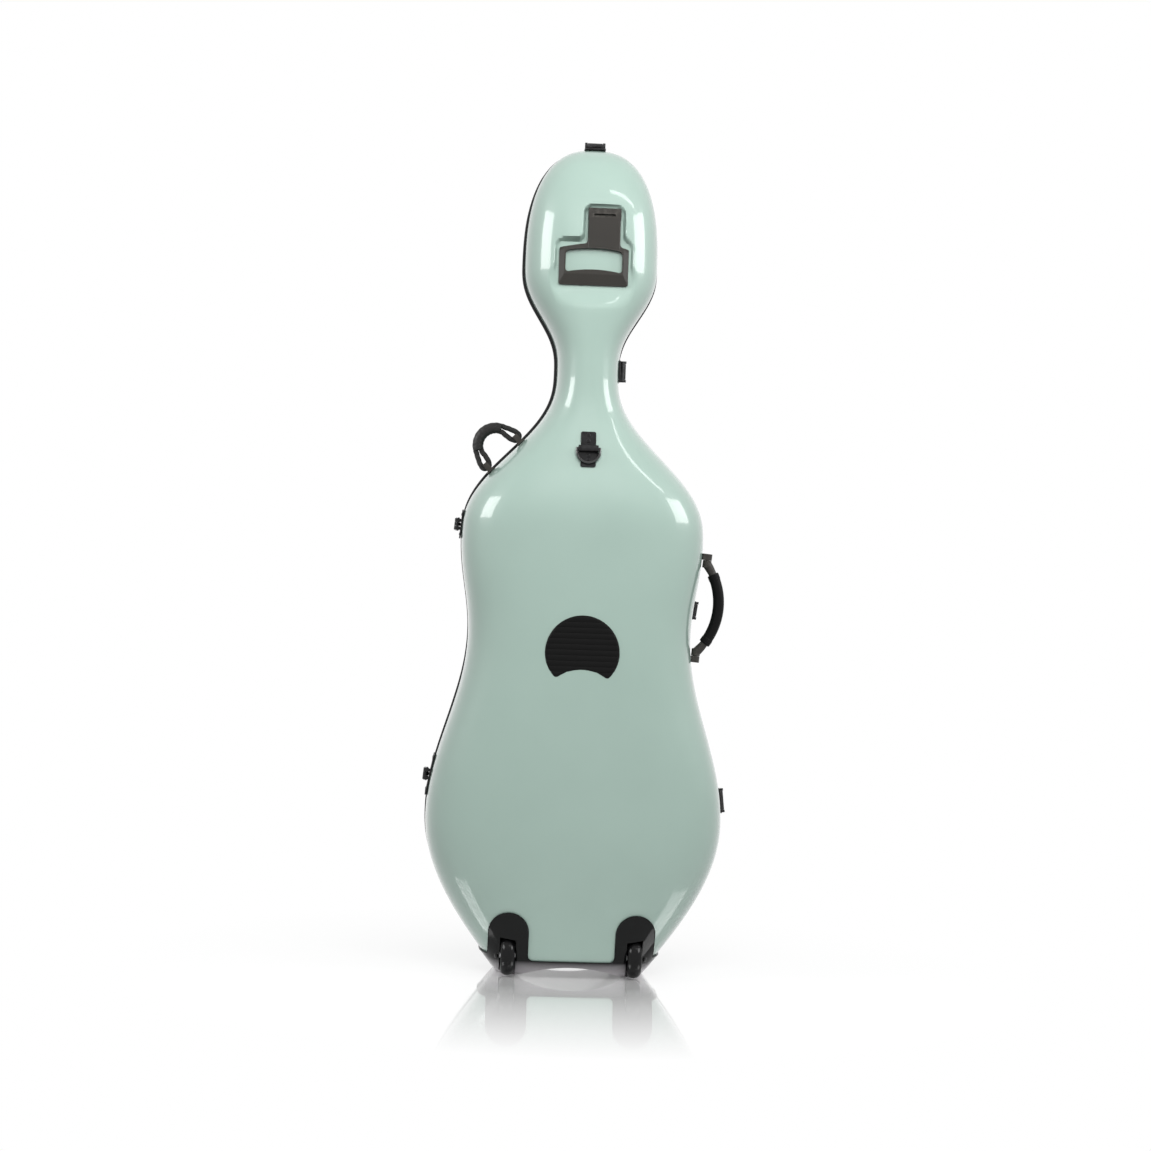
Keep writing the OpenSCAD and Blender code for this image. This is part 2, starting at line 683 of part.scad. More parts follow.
function lever_w(len) = len - 2 * ear_t - 2.4;
module latch_lever(len, rise) color(black) translate([pivot_x(rise), 0, 0]) difference() {
    union() {
        translate([0, pivot_y, 0]) along_z(barrel_r, lever_w(len));
        translate([0.1, pivot_y, -lever_w(len) / 2])
            cube([barrel_r - 0.1, latch_front - pivot_y, lever_w(len)]);
        translate([0, latch_front - 3, -lever_w(len) / 2]) difference() {
            cube([ear_r + 0.2, 6, lever_w(len)]);
            translate([-3.2, 4.5, -1]) cylinder(r = 4, h = lever_w(len) + 2);
        }
    }
    translate([0, pivot_y, 0]) along_z(latch_pin_d / 2 + pin_fit, len + 2);
}
module latch_keeper(len, rise) color(black) {
    translate([seat + latch_plate_t / 2, rim_h + 0.4 + latch_front / 2, 0]) rotate([0, 90, 0])
        linear_extrude(latch_plate_t, center = true) rounded_box(len, latch_front, 3);
    translate([seat, 5, -lever_w(len) / 2 + 1])
        cube([pivot_x(rise) - latch_gap - seat, 5, lever_w(len) - 2]);
}
// Where the outline curves inwards, a plate's back is shaped to the shell
module shaped_to_shell(stops, z) difference() {
    children();
    if (stops == back_depth) on_back() half_solid(stops, -seat, z - 60, z + 60);
    else on_lid() half_solid(stops, -seat, z - 60, z + 60);
}
module latch_pin(len, rise) color(steel) translate([pivot_x(rise), pivot_y, 0])
    along_z(latch_pin_d / 2, len - 1.2);

// Head handle: a flap that hangs in the recess from a screwed tab
flap_seat = 0.4;
flap_mid = -(recess_y + flap_seat + flap_t / 2);
ear_w = 9;
shoulder_drop = 8;
module in_recess() on_back() translate([stem_off, flap_mid, flap_z]) children();
module window() {
    arc_r = 170;
    intersection() {
        rounded_box(window_w, window_h + 4, 6);
        translate([0, (window_h + 4) / 2 - arc_r]) circle(arc_r, $fn = 160);
    }
}
module flap_face() difference() {
    union() {
        translate([0, flap_z - flap_drop + (frame_h - shoulder_drop) / 2])
            rounded_box(flap_w, frame_h - shoulder_drop, 8);
        polygon([[-flap_w / 2 + 6, flap_z - flap_drop + frame_h - shoulder_drop - 0.5],
            [stem_off - stem_w / 2, flap_z - flap_drop + frame_h],
            [stem_off - stem_w / 2, flap_z - flap_t / 2 - 1],
            [stem_off + stem_w / 2, flap_z - flap_t / 2 - 1],
            [stem_off + stem_w / 2, flap_z - flap_drop + frame_h - shoulder_drop - 0.5]]);
    }
    translate([0, flap_z - flap_drop + 20 + window_h / 2]) window();
}
module head_handle_flap() color(black) difference() {
    union() {
        on_back() through_y(flap_mid - flap_t / 2, flap_mid + flap_t / 2) flap_face();
        in_recess() {
            along_x(flap_t / 2, stem_w - 2 * ear_w - 0.8);
            block(-stem_w / 2 + ear_w + 0.4, stem_w / 2 - ear_w - 0.4, -flap_t / 2, flap_t / 2,
                -flap_t / 2 - 2, 0);
        }
    }
    in_recess() along_x(flap_pin_d / 2 + pin_fit, stem_w + 2);
}
module head_handle_bracket() color(black) in_recess() difference() {
    union() {
        block(-stem_w / 2, stem_w / 2, -flap_t / 2, flap_t / 2, flap_t / 2 + 1.2, tab_h);
        for (s = [-1, 1]) translate([s * (stem_w - ear_w) / 2, 0, 0]) {
            along_x(flap_t / 2, ear_w);
            block(-ear_w / 2, ear_w / 2, -flap_t / 2, flap_t / 2, 0, flap_t / 2 + 2);
        }
    }
    along_x(flap_pin_d / 2 + pin_fit, stem_w + 2);
}
module head_handle_pin() color(steel) in_recess() along_x(flap_pin_d / 2, stem_w - 1);

// Strap anchor: riveted plate, cross bar and a ring that swings in it
anchor_t = 2.5;
ring_y = -(anchor_t + seat + ring_wire_d / 2 + 1.2);
ring_r = anchor_bar_w / 2 + ring_wire_d / 2 + 0.3;
bar_h = 11;
module strap_anchor_plate() color(black) shaped_to_shell(back_depth, anchor_z)
    on_back_surface(anchor_z) difference() {
    union() {
        through_y(-anchor_t - seat, -seat) {
            rounded_box(anchor_w, anchor_len, 3);
            polygon([for (p = [[-1, 0], [1, 0], [1, -0.25], [0.72, -0.36], [-0.72, -0.36], [-1, -0.25]])
                [p[0] * anchor_bar_w / 2, p[1] * anchor_len]]);
        }
        block(-anchor_bar_w / 2, anchor_bar_w / 2, ring_y, -seat, -bar_h / 2, bar_h / 2);
        translate([0, ring_y, 0]) along_x(bar_h / 2, anchor_bar_w);
    }
    translate([0, ring_y, 0]) along_x(ring_wire_d / 2 + pin_fit, anchor_bar_w + 2);
}
module strap_anchor_rivets() color(black) on_back_surface(anchor_z)
    for (r = [[23, 3.2], [13.5, 3.2], [-10.5, 3.2], [-17, 2.4]])
        translate([0, -anchor_t - seat, r[0]]) rotate([90, 0, 0])
            cylinder(r1 = r[1], r2 = r[1] - 1, h = 1.3);
module strap_anchor_ring() color(steel) on_back_surface(anchor_z) translate([0, ring_y, 0]) {
    along_x(ring_wire_d / 2, 2 * ring_r);
    for (s = [-1, 1]) translate([s * ring_r, 0, 0]) sphere(ring_wire_d / 2);
    both_sides(ring_r) translate([0, 0, (ring_r - ring_drop) / 2])
        along_z(ring_wire_d / 2, ring_drop - ring_r);
    translate([0, 0, ring_r - ring_drop]) rotate([90, 180, 0]) rotate_extrude(angle = 180)
        translate([ring_r, 0]) circle(ring_wire_d / 2);
}

// Back pad: a ribbed rubber disc with a hollow cut from its lower edge
pad_t = 2;
rib_r = 3;
rib_proud = 1;
module back_pad() color(rubber) {
    seat_y = -depth(back_depth, pad_z) + pad_sink;
    on_back() translate([0, 0, pad_z]) intersection() {
        through_y(seat_y - pad_t - rib_r, seat_y) pad_outline();
        union() {
            block(-pad_d, pad_d, seat_y - pad_t, seat_y, -pad_d, pad_d);
            for (k = [-floor(pad_d / 2 / rib_pitch) : floor(pad_d / 2 / rib_pitch)])
                translate([0, seat_y - pad_t + rib_r - rib_proud, k * rib_pitch]) along_x(rib_r, pad_d + 2);
        }
    }
}

// Side handle: an arc that swings on two end posts
eye_r = 7;
eye_len = 12;
post_w = 10;
handle_y = rim_y - handle_back;
function wall_x(z) = let (n = profile(fullness, z))
    half_width(z) * pow(1 - pow((handle_back - rim_h) / (depth(back_depth, z) - rim_h), n), 1 / n);
handle_low_z = handle_z - handle_span / 2;
handle_high_z = handle_z + handle_span / 2;
handle_lean = atan((wall_x(handle_high_z) - wall_x(handle_low_z)) / handle_span);
handle_x = (wall_x(handle_low_z) + wall_x(handle_high_z)) / 2 + handle_off;
handle_arc_r = (pow(handle_span / 2, 2) + pow(handle_bow, 2)) / (2 * handle_bow);
handle_arc = asin(handle_span / 2 / handle_arc_r);
grip_arc = 29;
module at_handle() translate([handle_x, handle_y, handle_z]) rotate([0, handle_lean, 0]) children();
module handle_ring(a0, a1) translate([handle_bow - handle_arc_r, 0, 0]) rotate([90, 0, 0]) rotate([0, 0, a0])
    rotate_extrude(angle = a1 - a0, $fn = 180) translate([handle_arc_r, 0]) children();
module side_handle_core() color(black) at_handle() difference() {
    union() {
        handle_ring(-handle_arc, handle_arc) circle(core_d / 2);
        for (s = [-1, 1]) translate([0, 0, s * handle_span / 2]) along_z(eye_r, eye_len);
    }
    for (s = [-1, 1]) translate([0, 0, s * handle_span / 2])
        along_z(handle_pin_d / 2 + pin_fit, 2 * eye_len);
}
module side_handle_grip() color(rubber) at_handle() difference() {
    union() {
        handle_ring(-grip_arc, grip_arc) circle(grip_d / 2);
        handle_ring(-grip_arc - 2.4, grip_arc + 2.4) circle(grip_d / 2 - 1.2);
    }
    handle_ring(-handle_arc, handle_arc) circle(core_d / 2);
}
post_z = handle_span / 2 + eye_len / 2 + lid_gap;
module side_handle_anchors() color(black) difference() {
    union() for (s = [-1, 1]) {
        at_handle() translate([0, 0, s * (post_z + post_w / 2)]) {
            along_z(eye_r, post_w);
            block(-handle_off, 0, -eye_r, eye_r, -post_w / 2, post_w / 2);
        }
    }
    at_handle() along_z(handle_pin_d / 2 + pin_fit, handle_span + 2 * eye_len + 2 * post_w);
    on_back() half_solid(back_depth, -seat, handle_low_z - 60, handle_high_z + 60);
}
module side_handle_pins() color(steel) at_handle()
    for (s = [-1, 1]) translate([0, 0, s * (post_z + post_w / 2 - eye_len / 2)])
        along_z(handle_pin_d / 2, eye_len + post_w - 1);

// Shoulder handle: a padded arch whose ends split into loops round two staples
shoulder_end = 38;
shoulder_in = 8;
shoulder_arc_r = (pow(shoulder_span / 2 - shoulder_in, 2) + pow(shoulder_rise - shoulder_end, 2))
    / (2 * (shoulder_rise - shoulder_end));
shoulder_arc = asin((shoulder_span / 2 - shoulder_in) / shoulder_arc_r);
staple_r = 2.2;
loop_r = loop_d / 2;
bend_r = loop_r + staple_r + 0.4;
staple_base_t = 2.2;
staple_x = seat + staple_base_t + 0.4 + loop_r + bend_r;
module at_shoulder() mirror([1, 0, 0]) at_rim(shoulder_z) translate([0, -shoulder_back, 0]) children();
module shoulder_handle_grip() color(rubber) at_shoulder()
    translate([shoulder_rise - shoulder_arc_r, 0, 0]) rotate([90, 0, 0]) rotate([0, 0, -shoulder_arc])
        rotate_extrude(angle = 2 * shoulder_arc, $fn = 120)
            translate([shoulder_arc_r, 0]) circle(shoulder_grip_d / 2);
module shoulder_handle_loops() color(black) at_shoulder() for (s = [-1, 1]) {
    start = [staple_x, 0, s * shoulder_span / 2];
    end = [shoulder_end, 0, s * (shoulder_span / 2 - shoulder_in)];
    along = unit(end - start);
    across = cross([0, 1, 0], along);
    into_grip = [sin(shoulder_arc), 0, -s * cos(shoulder_arc)];
    beside = (loop_r + 0.2) * cross([0, 1, 0], into_grip);
    knee = (end + 2 * start) / 3;
    tip = end - fit * into_grip;
    swept_tube(concat([tip + beside, tip - 3 * into_grip + beside, knee + (bend_r - 0.4) * across],
        [for (k = [0 : 8]) let (a = 180 * k / 8) start + bend_r * (cos(a) * across - sin(a) * along)],
        [knee - (bend_r - 0.4) * across, tip - 3 * into_grip - beside, tip - beside]), loop_r, 10);
}
module shoulder_handle_anchors() color(black) shaped_to_shell(back_depth, shoulder_z)
    at_shoulder() for (s = [-1, 1]) translate([0, 0, s * shoulder_span / 2]) {
    translate([staple_x, 0, 0]) rotate([90, 0, 0]) cylinder(r = staple_r, h = 2 * loop_r + 6, center = true);
    for (e = [-1, 1]) translate([(staple_x + seat + staple_r) / 2, e * (loop_r + 2), 0])
        cube([staple_x - seat + staple_r, 3, 9], center = true);
    translate([seat + staple_base_t / 2, 0, 0]) cube([staple_base_t, 2 * loop_r + 16, 14], center = true);
}

// Inside: linings, bolsters, neck cradle with its strap, end block and bow fittings
lining_out = wall + soft_gap;
lining_in = lining_out + lining_t;
deck_in = deck_z + wall + soft_gap;
module back_lining() color(plush) difference() {
    on_back() half_shell(back_depth, lining_out, lining_in, deck_in, shell_segs);
    recess_tray(wall + soft_gap, recess_y - wall - soft_gap);
    tub(soft_gap);
}
module lid_lining() color(plush) on_lid() half_shell(lid_depth, lining_out, lining_in, deck_in, shell_segs);

// A crowned pad on the lining, drawn in between its corners, with two sewn channels
pad_cols = [-1, -0.93, -0.75, -0.5, -0.38, -0.333, -0.28, -0.15, 0,
    0.15, 0.28, 0.333, 0.38, 0.5, 0.75, 0.93, 1];
pad_rows = [-1, -0.9, -0.6, -0.2, 0.2, 0.6, 0.9, 1];
pinch = 0.06;
function pad_height(u, v) = bolster_t * (0.3 + 0.7 * (1 - pow(u, 4)) * (1 - pow(v, 4)))
    * (1 - 0.28 * exp(-pow((abs(u) - 0.333) / 0.04, 2)));
module bolster(w, h, z) {
    nc = len(pad_cols);
    nr = len(pad_rows);
    sunk = 2.6;
    foot = lining_in + soft_gap - sunk;
    place = [for (v = pad_rows) for (u = pad_cols)
        let (x = w / 2 * u * (1 - pinch * (1 - v * v)), y = z + h / 2 * v * (1 - pinch * (1 - u * u)))
        [x, -skin_depth(back_depth, x, y, foot), y]];
    points = concat(place, [for (i = [0 : nr - 1]) for (j = [0 : nc - 1])
        place[i * nc + j] + [0, sunk + pad_height(pad_cols[j], pad_rows[i]), 0]]);
    n = nc * nr;
    sheets = [for (i = [0 : nr - 2]) for (j = [0 : nc - 2]) let (a = i * nc + j)
        for (f = [[a, a + nc, a + nc + 1], [a, a + nc + 1, a + 1],
                [n + a, n + a + nc + 1, n + a + nc], [n + a, n + a + 1, n + a + nc + 1]]) f];
    edge = concat([for (j = [0 : nc - 1]) j], [for (i = [1 : nr - 1]) i * nc + nc - 1],
        [for (j = [nc - 2 : -1 : 0]) (nr - 1) * nc + j], [for (i = [nr - 2 : -1 : 1]) i * nc]);
    m = len(edge);
    sides = [for (k = [0 : m - 1]) let (a = edge[k], b = edge[(k + 1) % m])
        for (f = [[a, n + b, n + a], [a, b, n + b]]) f];
    intersection() {
        polyhedron(points, concat(sheets, sides));
        half_solid(back_depth, lining_in + soft_gap, z - 2 * h, z + 2 * h);
    }
}
module lower_bolster() color(plush) on_back() bolster(low_bolster_w, low_bolster_h, low_bolster_z);
module upper_bolster() color(plush) on_back() bolster(high_bolster_w, high_bolster_h, high_bolster_z);

cradle_y = -cradle_r - 6;
cradle_w = 2 * cradle_r + 26;
cradle_top = -8;
module neck_cradle() color(plush) on_back() difference() {
    intersection() {
        block(-cradle_w / 2, cradle_w / 2, -back_upper_d, cradle_top, cradle_z, cradle_z + cradle_len);
        half_solid(back_depth, lining_in + 2 * soft_gap, cradle_z - 40, cradle_z + cradle_len + 40);
    }
    translate([0, cradle_y, cradle_z - 1]) cylinder(r = cradle_r, h = cradle_len + 2);
    block(-cradle_r, cradle_r, cradle_y, 1, cradle_z - 1, cradle_z + cradle_len + 1);
}
strap_t = 2;
module neck_strap() color(black) on_back() translate([0, 0, cradle_z + cradle_len / 2]) {
    for (s = [-1, 1]) block(s * (cradle_r + 7) - 7, s * (cradle_r + 7) + 7,
        cradle_top + 0.3, cradle_top + 0.3 + strap_t, -neck_strap_w / 2, neck_strap_w / 2);
    translate([0, cradle_top + 0.3, 0]) intersection() {
        difference() {
            along_z(cradle_r + strap_t, neck_strap_w);
            along_z(cradle_r, neck_strap_w + 1);
        }
        block(-cradle_w, cradle_w, 0, cradle_w, -neck_strap_w, neck_strap_w);
    }
}
block_y = -36;
block_d = 56;
block_foot = deck_in + lining_t + soft_gap;
module end_block() color(plush) on_back() translate([0, block_y, block_foot]) difference() {
    translate([0, 0, block_h / 2]) {
        cube([block_w, block_d - 16, block_h], center = true);
        cube([block_w - 16, block_d, block_h], center = true);
        for (x = [-1, 1], y = [-1, 1]) translate([x * (block_w / 2 - 8), y * (block_d / 2 - 8), 0])
            along_z(8, block_h);
    }
    translate([0, 0, 6]) cylinder(r = pin_hole_r, h = block_h);
}

// Bow fittings on the lid: a clip that the stick snaps into and a pocket for the tip
clip_w = 26;
clip_len = 34;
clip_t = 15;
stick_r = 5;
clip_mouth = 8;
function lid_inside(x, z) = skin_depth(lid_depth, x, z, lining_in);
module at_bows(z) on_lid() for (s = [-1, 1]) translate([s * bow_x, 0, z]) children();
clip_depth = min([for (e = [-1, 1]) lid_inside(bow_x + clip_w / 2, clasp_z + e * clip_len / 2)]);
clip_seat = -clip_depth + 2 * soft_gap;
module bow_clasps() color(black) at_bows(clasp_z) difference() {
    through_y(clip_seat, clip_seat + clip_t) rounded_box(clip_w, clip_len, 4);
    translate([0, clip_seat + clip_t - stick_r - 1, 0]) along_z(stick_r, clip_len + 2);
    block(-clip_mouth / 2, clip_mouth / 2, clip_seat + clip_t - stick_r - 1, clip_seat + clip_t + 1,
        -clip_len, clip_len);
}
pocket_w = 44;
pocket_h = 58;
pocket_t = 22;
pocket_depth = min([for (z = [pocket_z, pocket_z + pocket_h]) lid_inside(bow_x + pocket_w / 2, z)]);
pocket_seat = -pocket_depth + 2 * soft_gap;
module bow_tip_pockets() color(plush) at_bows(pocket_z) difference() {
    block(-pocket_w / 2, pocket_w / 2, pocket_seat, pocket_seat + pocket_t, 0, pocket_h);
    block(-pocket_w / 2 + 4, pocket_w / 2 - 4, pocket_seat + 3, pocket_seat + pocket_t - 3, 5, pocket_h + 1);
}

back_shell();
lid_shell();
back_rim();
lid_rim();
base_guard();
lid_guard();
wheel_tyre(-1);  // wheel_left_tyre
wheel_hub(-1);  // wheel_left_hub
wheel_bearings(-1);  // wheel_left_bearings
wheel_axle(-1);  // wheel_left_axle
wheel_tyre(1);  // wheel_right_tyre
wheel_hub(1);  // wheel_right_hub
wheel_bearings(1);  // wheel_right_bearings
wheel_axle(1);  // wheel_right_axle
color(black) leaf(hinge_low_z, hinge_low_len, [-1, 1], -1);  // hinge_low_back_leaf
color(black) leaf(hinge_low_z, hinge_low_len, [0], 1);  // hinge_low_lid_leaf
hinge_pin(hinge_low_z);  // hinge_low_pin
color(black) leaf(hinge_high_z, hinge_high_len, [-1, 1], -1);  // hinge_high_back_leaf
color(black) leaf(hinge_high_z, hinge_high_len, [0], 1);  // hinge_high_lid_leaf
hinge_pin(hinge_high_z);  // hinge_high_pin
at_crown() latch_base(top_latch_len, tall_rise);  // top_latch_base
at_crown() latch_lever(top_latch_len, tall_rise);  // top_latch_lever
at_crown() latch_keeper(top_latch_len, tall_rise);  // top_latch_keeper
at_crown() latch_pin(top_latch_len, tall_rise);  // top_latch_pin
shaped_to_shell(back_depth, neck_latch_z) at_rim(neck_latch_z) latch_base(neck_latch_len, tall_rise);  // neck_latch_base
at_rim(neck_latch_z) latch_lever(neck_latch_len, tall_rise);  // neck_latch_lever
shaped_to_shell(lid_depth, neck_latch_z) at_rim(neck_latch_z) latch_keeper(neck_latch_len, tall_rise);  // neck_latch_keeper
at_rim(neck_latch_z) latch_pin(neck_latch_len, tall_rise);  // neck_latch_pin
shaped_to_shell(back_depth, waist_latch_z) at_rim(waist_latch_z) latch_base(waist_latch_len, low_rise);  // waist_latch_base
at_rim(waist_latch_z) latch_lever(waist_latch_len, low_rise);  // waist_latch_lever
shaped_to_shell(lid_depth, waist_latch_z) at_rim(waist_latch_z) latch_keeper(waist_latch_len, low_rise);  // waist_latch_keeper
at_rim(waist_latch_z) latch_pin(waist_latch_len, low_rise);  // waist_latch_pin
at_rim(bout_latch_z) latch_base(bout_latch_len, low_rise);  // bout_latch_base
at_rim(bout_latch_z) latch_lever(bout_latch_len, low_rise);  // bout_latch_lever
at_rim(bout_latch_z) latch_keeper(bout_latch_len, low_rise);  // bout_latch_keeper
at_rim(bout_latch_z) latch_pin(bout_latch_len, low_rise);  // bout_latch_pin
head_handle_bracket();
head_handle_flap();
head_handle_pin();
strap_anchor_plate();
strap_anchor_rivets();
strap_anchor_ring();
back_pad();
side_handle_anchors();
side_handle_core();
side_handle_grip();
side_handle_pins();
shoulder_handle_anchors();
shoulder_handle_loops();
shoulder_handle_grip();
back_lining();
lid_lining();
lower_bolster();
upper_bolster();
neck_cradle();
neck_strap();
end_block();
bow_clasps();
bow_tip_pockets();
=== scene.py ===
# %% [markdown]
# # A hard cello case, dressed over its CAD frame
# The frame holds the exact solids and the joints. This lesson lays the surfaces that the eye
# meets over them: glossy moulded shells, black rims and guards, handles, and the soft inside.
# Every surface comes from the same curves as the solids, so each piece lands on its place.

# %% Load the frame and its record
import json
from math import atan, cos, pi, radians, sin

import bpy
import bmesh
import numpy as np
from mathutils import Euler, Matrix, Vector


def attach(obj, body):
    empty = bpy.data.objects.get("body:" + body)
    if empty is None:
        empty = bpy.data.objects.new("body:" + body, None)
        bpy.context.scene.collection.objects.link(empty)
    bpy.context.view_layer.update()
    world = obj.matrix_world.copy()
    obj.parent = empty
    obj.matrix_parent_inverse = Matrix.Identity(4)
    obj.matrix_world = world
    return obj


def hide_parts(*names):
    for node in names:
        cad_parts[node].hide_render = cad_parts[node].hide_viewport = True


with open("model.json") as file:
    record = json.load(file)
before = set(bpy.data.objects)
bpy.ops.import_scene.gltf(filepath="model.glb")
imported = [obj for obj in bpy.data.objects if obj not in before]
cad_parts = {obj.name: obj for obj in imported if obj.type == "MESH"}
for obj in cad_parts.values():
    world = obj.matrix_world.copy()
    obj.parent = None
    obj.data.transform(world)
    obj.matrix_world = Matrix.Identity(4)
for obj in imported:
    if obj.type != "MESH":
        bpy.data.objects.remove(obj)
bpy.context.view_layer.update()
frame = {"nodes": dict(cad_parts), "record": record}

# %% [markdown]
# ## The camera
# The photograph looks at the back of the case through a long lens at about half its height,
# from slightly left, and the case leans a little clockwise in the picture. A camera that is
# rolled the other way gives that lean and leaves the floor level with the case's foot.

# %% Camera
PIXEL = 0.00159  # metres at the case that one pixel of the picture covers
PICTURE = 1151
camera_distance = 4.0
camera_azimuth = radians(-3)
camera_roll = atan(0.0338)
look_at = Vector((-0.0111, -0.06, 0.6355))
camera_data = bpy.data.cameras.new("photo_camera")
camera = bpy.data.objects.new("photo_camera", camera_data)
bpy.context.scene.collection.objects.link(camera)
camera_data.sensor_width = 36
camera_data.lens = 36 * camera_distance / (PIXEL * PICTURE)
camera.location = look_at + camera_distance * Vector((sin(camera_azimuth), -cos(camera_azimuth), 0))
camera.rotation_mode = "QUATERNION"
level = Euler((pi / 2, 0, camera_azimuth)).to_quaternion()
camera.rotation_quaternion = level @ Euler((0, 0, camera_roll)).to_quaternion()
bpy.context.scene.camera = camera
print("lens", round(camera_data.lens, 1), "mm at", camera_distance, "m")

# %% [markdown]
# ## The curves of the case
# The real shells are moulded on tools whose outline and depth change smoothly with height.
# Each is a list of stops: height, size, and the curve that leads on to the next stop. All
# sizes here are in millimetres and are the same numbers that shape the solids.

# %% Sizes shared with the solids
CASE_H, WALL, LID_GAP = 1320, 3, 0.3
RIM_H, RIM_PROUD = 3.2, 2.4
RIM_Y = 3
HEAD_Z, CROWN_FULL = 1134, 2.5
CROWN_H = CASE_H - HEAD_Z
DECK_Z, GUARD_T, FOOT_ROUND = 22, 2.4, 26
OUTLINE = [(0, 114.6, "sloped"), (245, 237, "gentle"), (540, 178.5, "gentle"),
           (690, 194, "steep"), (964, 49.5, "steep"), (1134, 106.5, "gentle")]
BACK = [(0, 100, "sloped"), (245, 138, "gentle"), (690, 131, "steep"),
        (964, 90, "gentle"), (1134, 97, "gentle")]
LID = [(0, 88, "sloped"), (245, 122, "gentle"), (480, 132, "gentle"), (690, 116, "steep"),
       (964, 62, "gentle"), (1134, 67, "gentle")]
FULLNESS = [(0, 3.4, "gentle"), (690, 3.4, "gentle"), (964, 2.6, "gentle"), (1134, 2.6, "gentle")]


# %% Curves as whole arrays
def rise(kind, u):
    """From 0 to 1: a quarter sine, a half cosine, or the fifth-degree step, at u from 0 to 1."""
    if kind == "sloped":
        return np.sin(pi / 2 * u)
    if kind == "gentle":
        return (1 - np.cos(pi * u)) / 2
    return u ** 3 * (u * (u * 6 - 15) + 10)


def profile(stops, z):
    """The first stop's size plus, for each span, its change of size times its rise."""
    z = np.asarray(z, float)
    size = np.full(z.shape, float(stops[0][1]))
    for (z0, a, kind), (z1, b, _) in zip(stops[:-1], stops[1:]):
        size += (b - a) * rise(kind, np.clip((z - z0) / (z1 - z0), 0, 1))
    return size


def slope(stops, z):
    """Change of a profile over one millimetre of height."""
    return profile(stops, np.asarray(z) + 0.5) - profile(stops, np.asarray(z) - 0.5)


def crown(u):
    """Superellipse from 1 to 0 as u goes from 0 to 1: one less u to the power of the fullness."""
    return np.clip(1 - np.clip(u, 0, 1) ** CROWN_FULL, 0, 1) ** (1 / CROWN_FULL)


def inset(stops, z, o):
    """A profile set in by o along its own normal; over the head it shrinks with the crown."""
    z = np.asarray(z, float)
    body = profile(stops, z) - o * np.sqrt(1 + slope(stops, np.minimum(z, HEAD_Z - 0.5)) ** 2)
    head = (profile(stops, HEAD_Z) - o) * crown((z - HEAD_Z) / (CROWN_H - o))
    return np.where(z > HEAD_Z, head, body)


def foot_cut(z):
    """What the rounded lower edge takes off the depth: a quarter circle."""
    down = np.clip(FOOT_ROUND - np.asarray(z, float), 0, FOOT_ROUND)
    return FOOT_ROUND - np.sqrt(FOOT_ROUND ** 2 - down ** 2)


def half_width(z, o=0):
    """Half of the case's width at a height, set in by o."""
    return inset(OUTLINE, z, o)


def depth(stops, z, o=0):
    """Depth of a half at its middle, set in by o."""
    return inset(stops, z, o) - foot_cut(z)


def skin_depth(stops, x, z, o=0, rim=RIM_H):
    """Depth of a shell in front of a point of its outline's plane: a superellipse across."""
    n = profile(FULLNESS, z)
    across = np.clip(np.abs(x) / half_width(z, o), 0, 1)
    return rim + (depth(stops, z, o) - rim) * (1 - across ** n) ** (1 / n)


def on_back(points):
    """From a half's own frame to the row frame; the back's belly is already at -Y."""
    return points + np.array([0, RIM_Y, 0])


def on_lid(points):
    """The lid is the same half frame mirrored in Y."""
    return points * np.array([1, -1, 1]) + np.array([0, RIM_Y, 0])


print("width at the bouts", 2 * half_width(245), "depth", depth(BACK, 245) + depth(LID, 245))


# %% [markdown]
# ## From arrays to meshes
# One helper turns point arrays and face arrays into an object at the origin, hands it to the
# body that it rides on and names its finish. Grids are the workhorse: rows times columns of
# points, joined into quads by index arithmetic, with no loop over the points.

# %% Mesh helpers
def grid_faces(rows, cols, first=0, wrap=False):
    """Quads between neighbouring rows and columns; wrap joins the last column to the first."""
    r, c = np.meshgrid(np.arange(rows - 1), np.arange(cols if wrap else cols - 1), indexing="ij")
    a, b = r * cols + c, r * cols + (c + 1) % cols
    return (first + np.stack([a, b, b + cols, a + cols], -1)).reshape(-1, 4)


def mesh_of(name, points, face_sets):
    """A mesh from points in millimetres and sets of faces."""
    faces = [f for fs in face_sets for f in np.asarray(fs).tolist()]
    mesh = bpy.data.meshes.new(name)
    mesh.from_pydata((np.asarray(points, float) * 0.001).tolist(), [], faces)
    return mesh


def cleaned(mesh, merge=1e-6, thin=False, flat=False, outward=False):
    """Merges double points, and where asked drops thin faces, joins flat ones or turns all out."""
    work = bmesh.new()
    work.from_mesh(mesh)
    bmesh.ops.remove_doubles(work, verts=work.verts, dist=merge)
    if thin:
        bmesh.ops.dissolve_degenerate(work, edges=work.edges, dist=1e-7)
    if flat:
        bmesh.ops.dissolve_limit(work, angle_limit=radians(1.0), verts=work.verts, edges=work.edges)
    if outward:
        bmesh.ops.recalc_face_normals(work, faces=work.faces)
    work.to_mesh(mesh)
    work.free()
    return mesh


def as_object(name, points, face_sets, body, slot, replaced=(), sharp=35, fix=True):
    """Makes a mesh from points in millimetres and sets of faces, and ties it to the frame."""
    return tie(name, mesh_of(name, points, face_sets), body, slot, replaced, sharp, fix)


def tie(name, mesh, body, slot, replaced=(), sharp=35, fix=True):
    """Cleans a mesh, shades it smooth but for real edges, and lets it ride on its body."""
    if fix:
        cleaned(mesh, thin=True, outward=True)
    mesh.validate()
    mesh.shade_smooth()
    mesh.set_sharp_from_angle(angle=radians(sharp))
    obj = bpy.data.objects.new(name, mesh)
    bpy.context.scene.collection.objects.link(obj)
    mesh.materials.append(FINISHES[slot])
    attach(obj, body)
    if replaced:
        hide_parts(*replaced)
    return obj


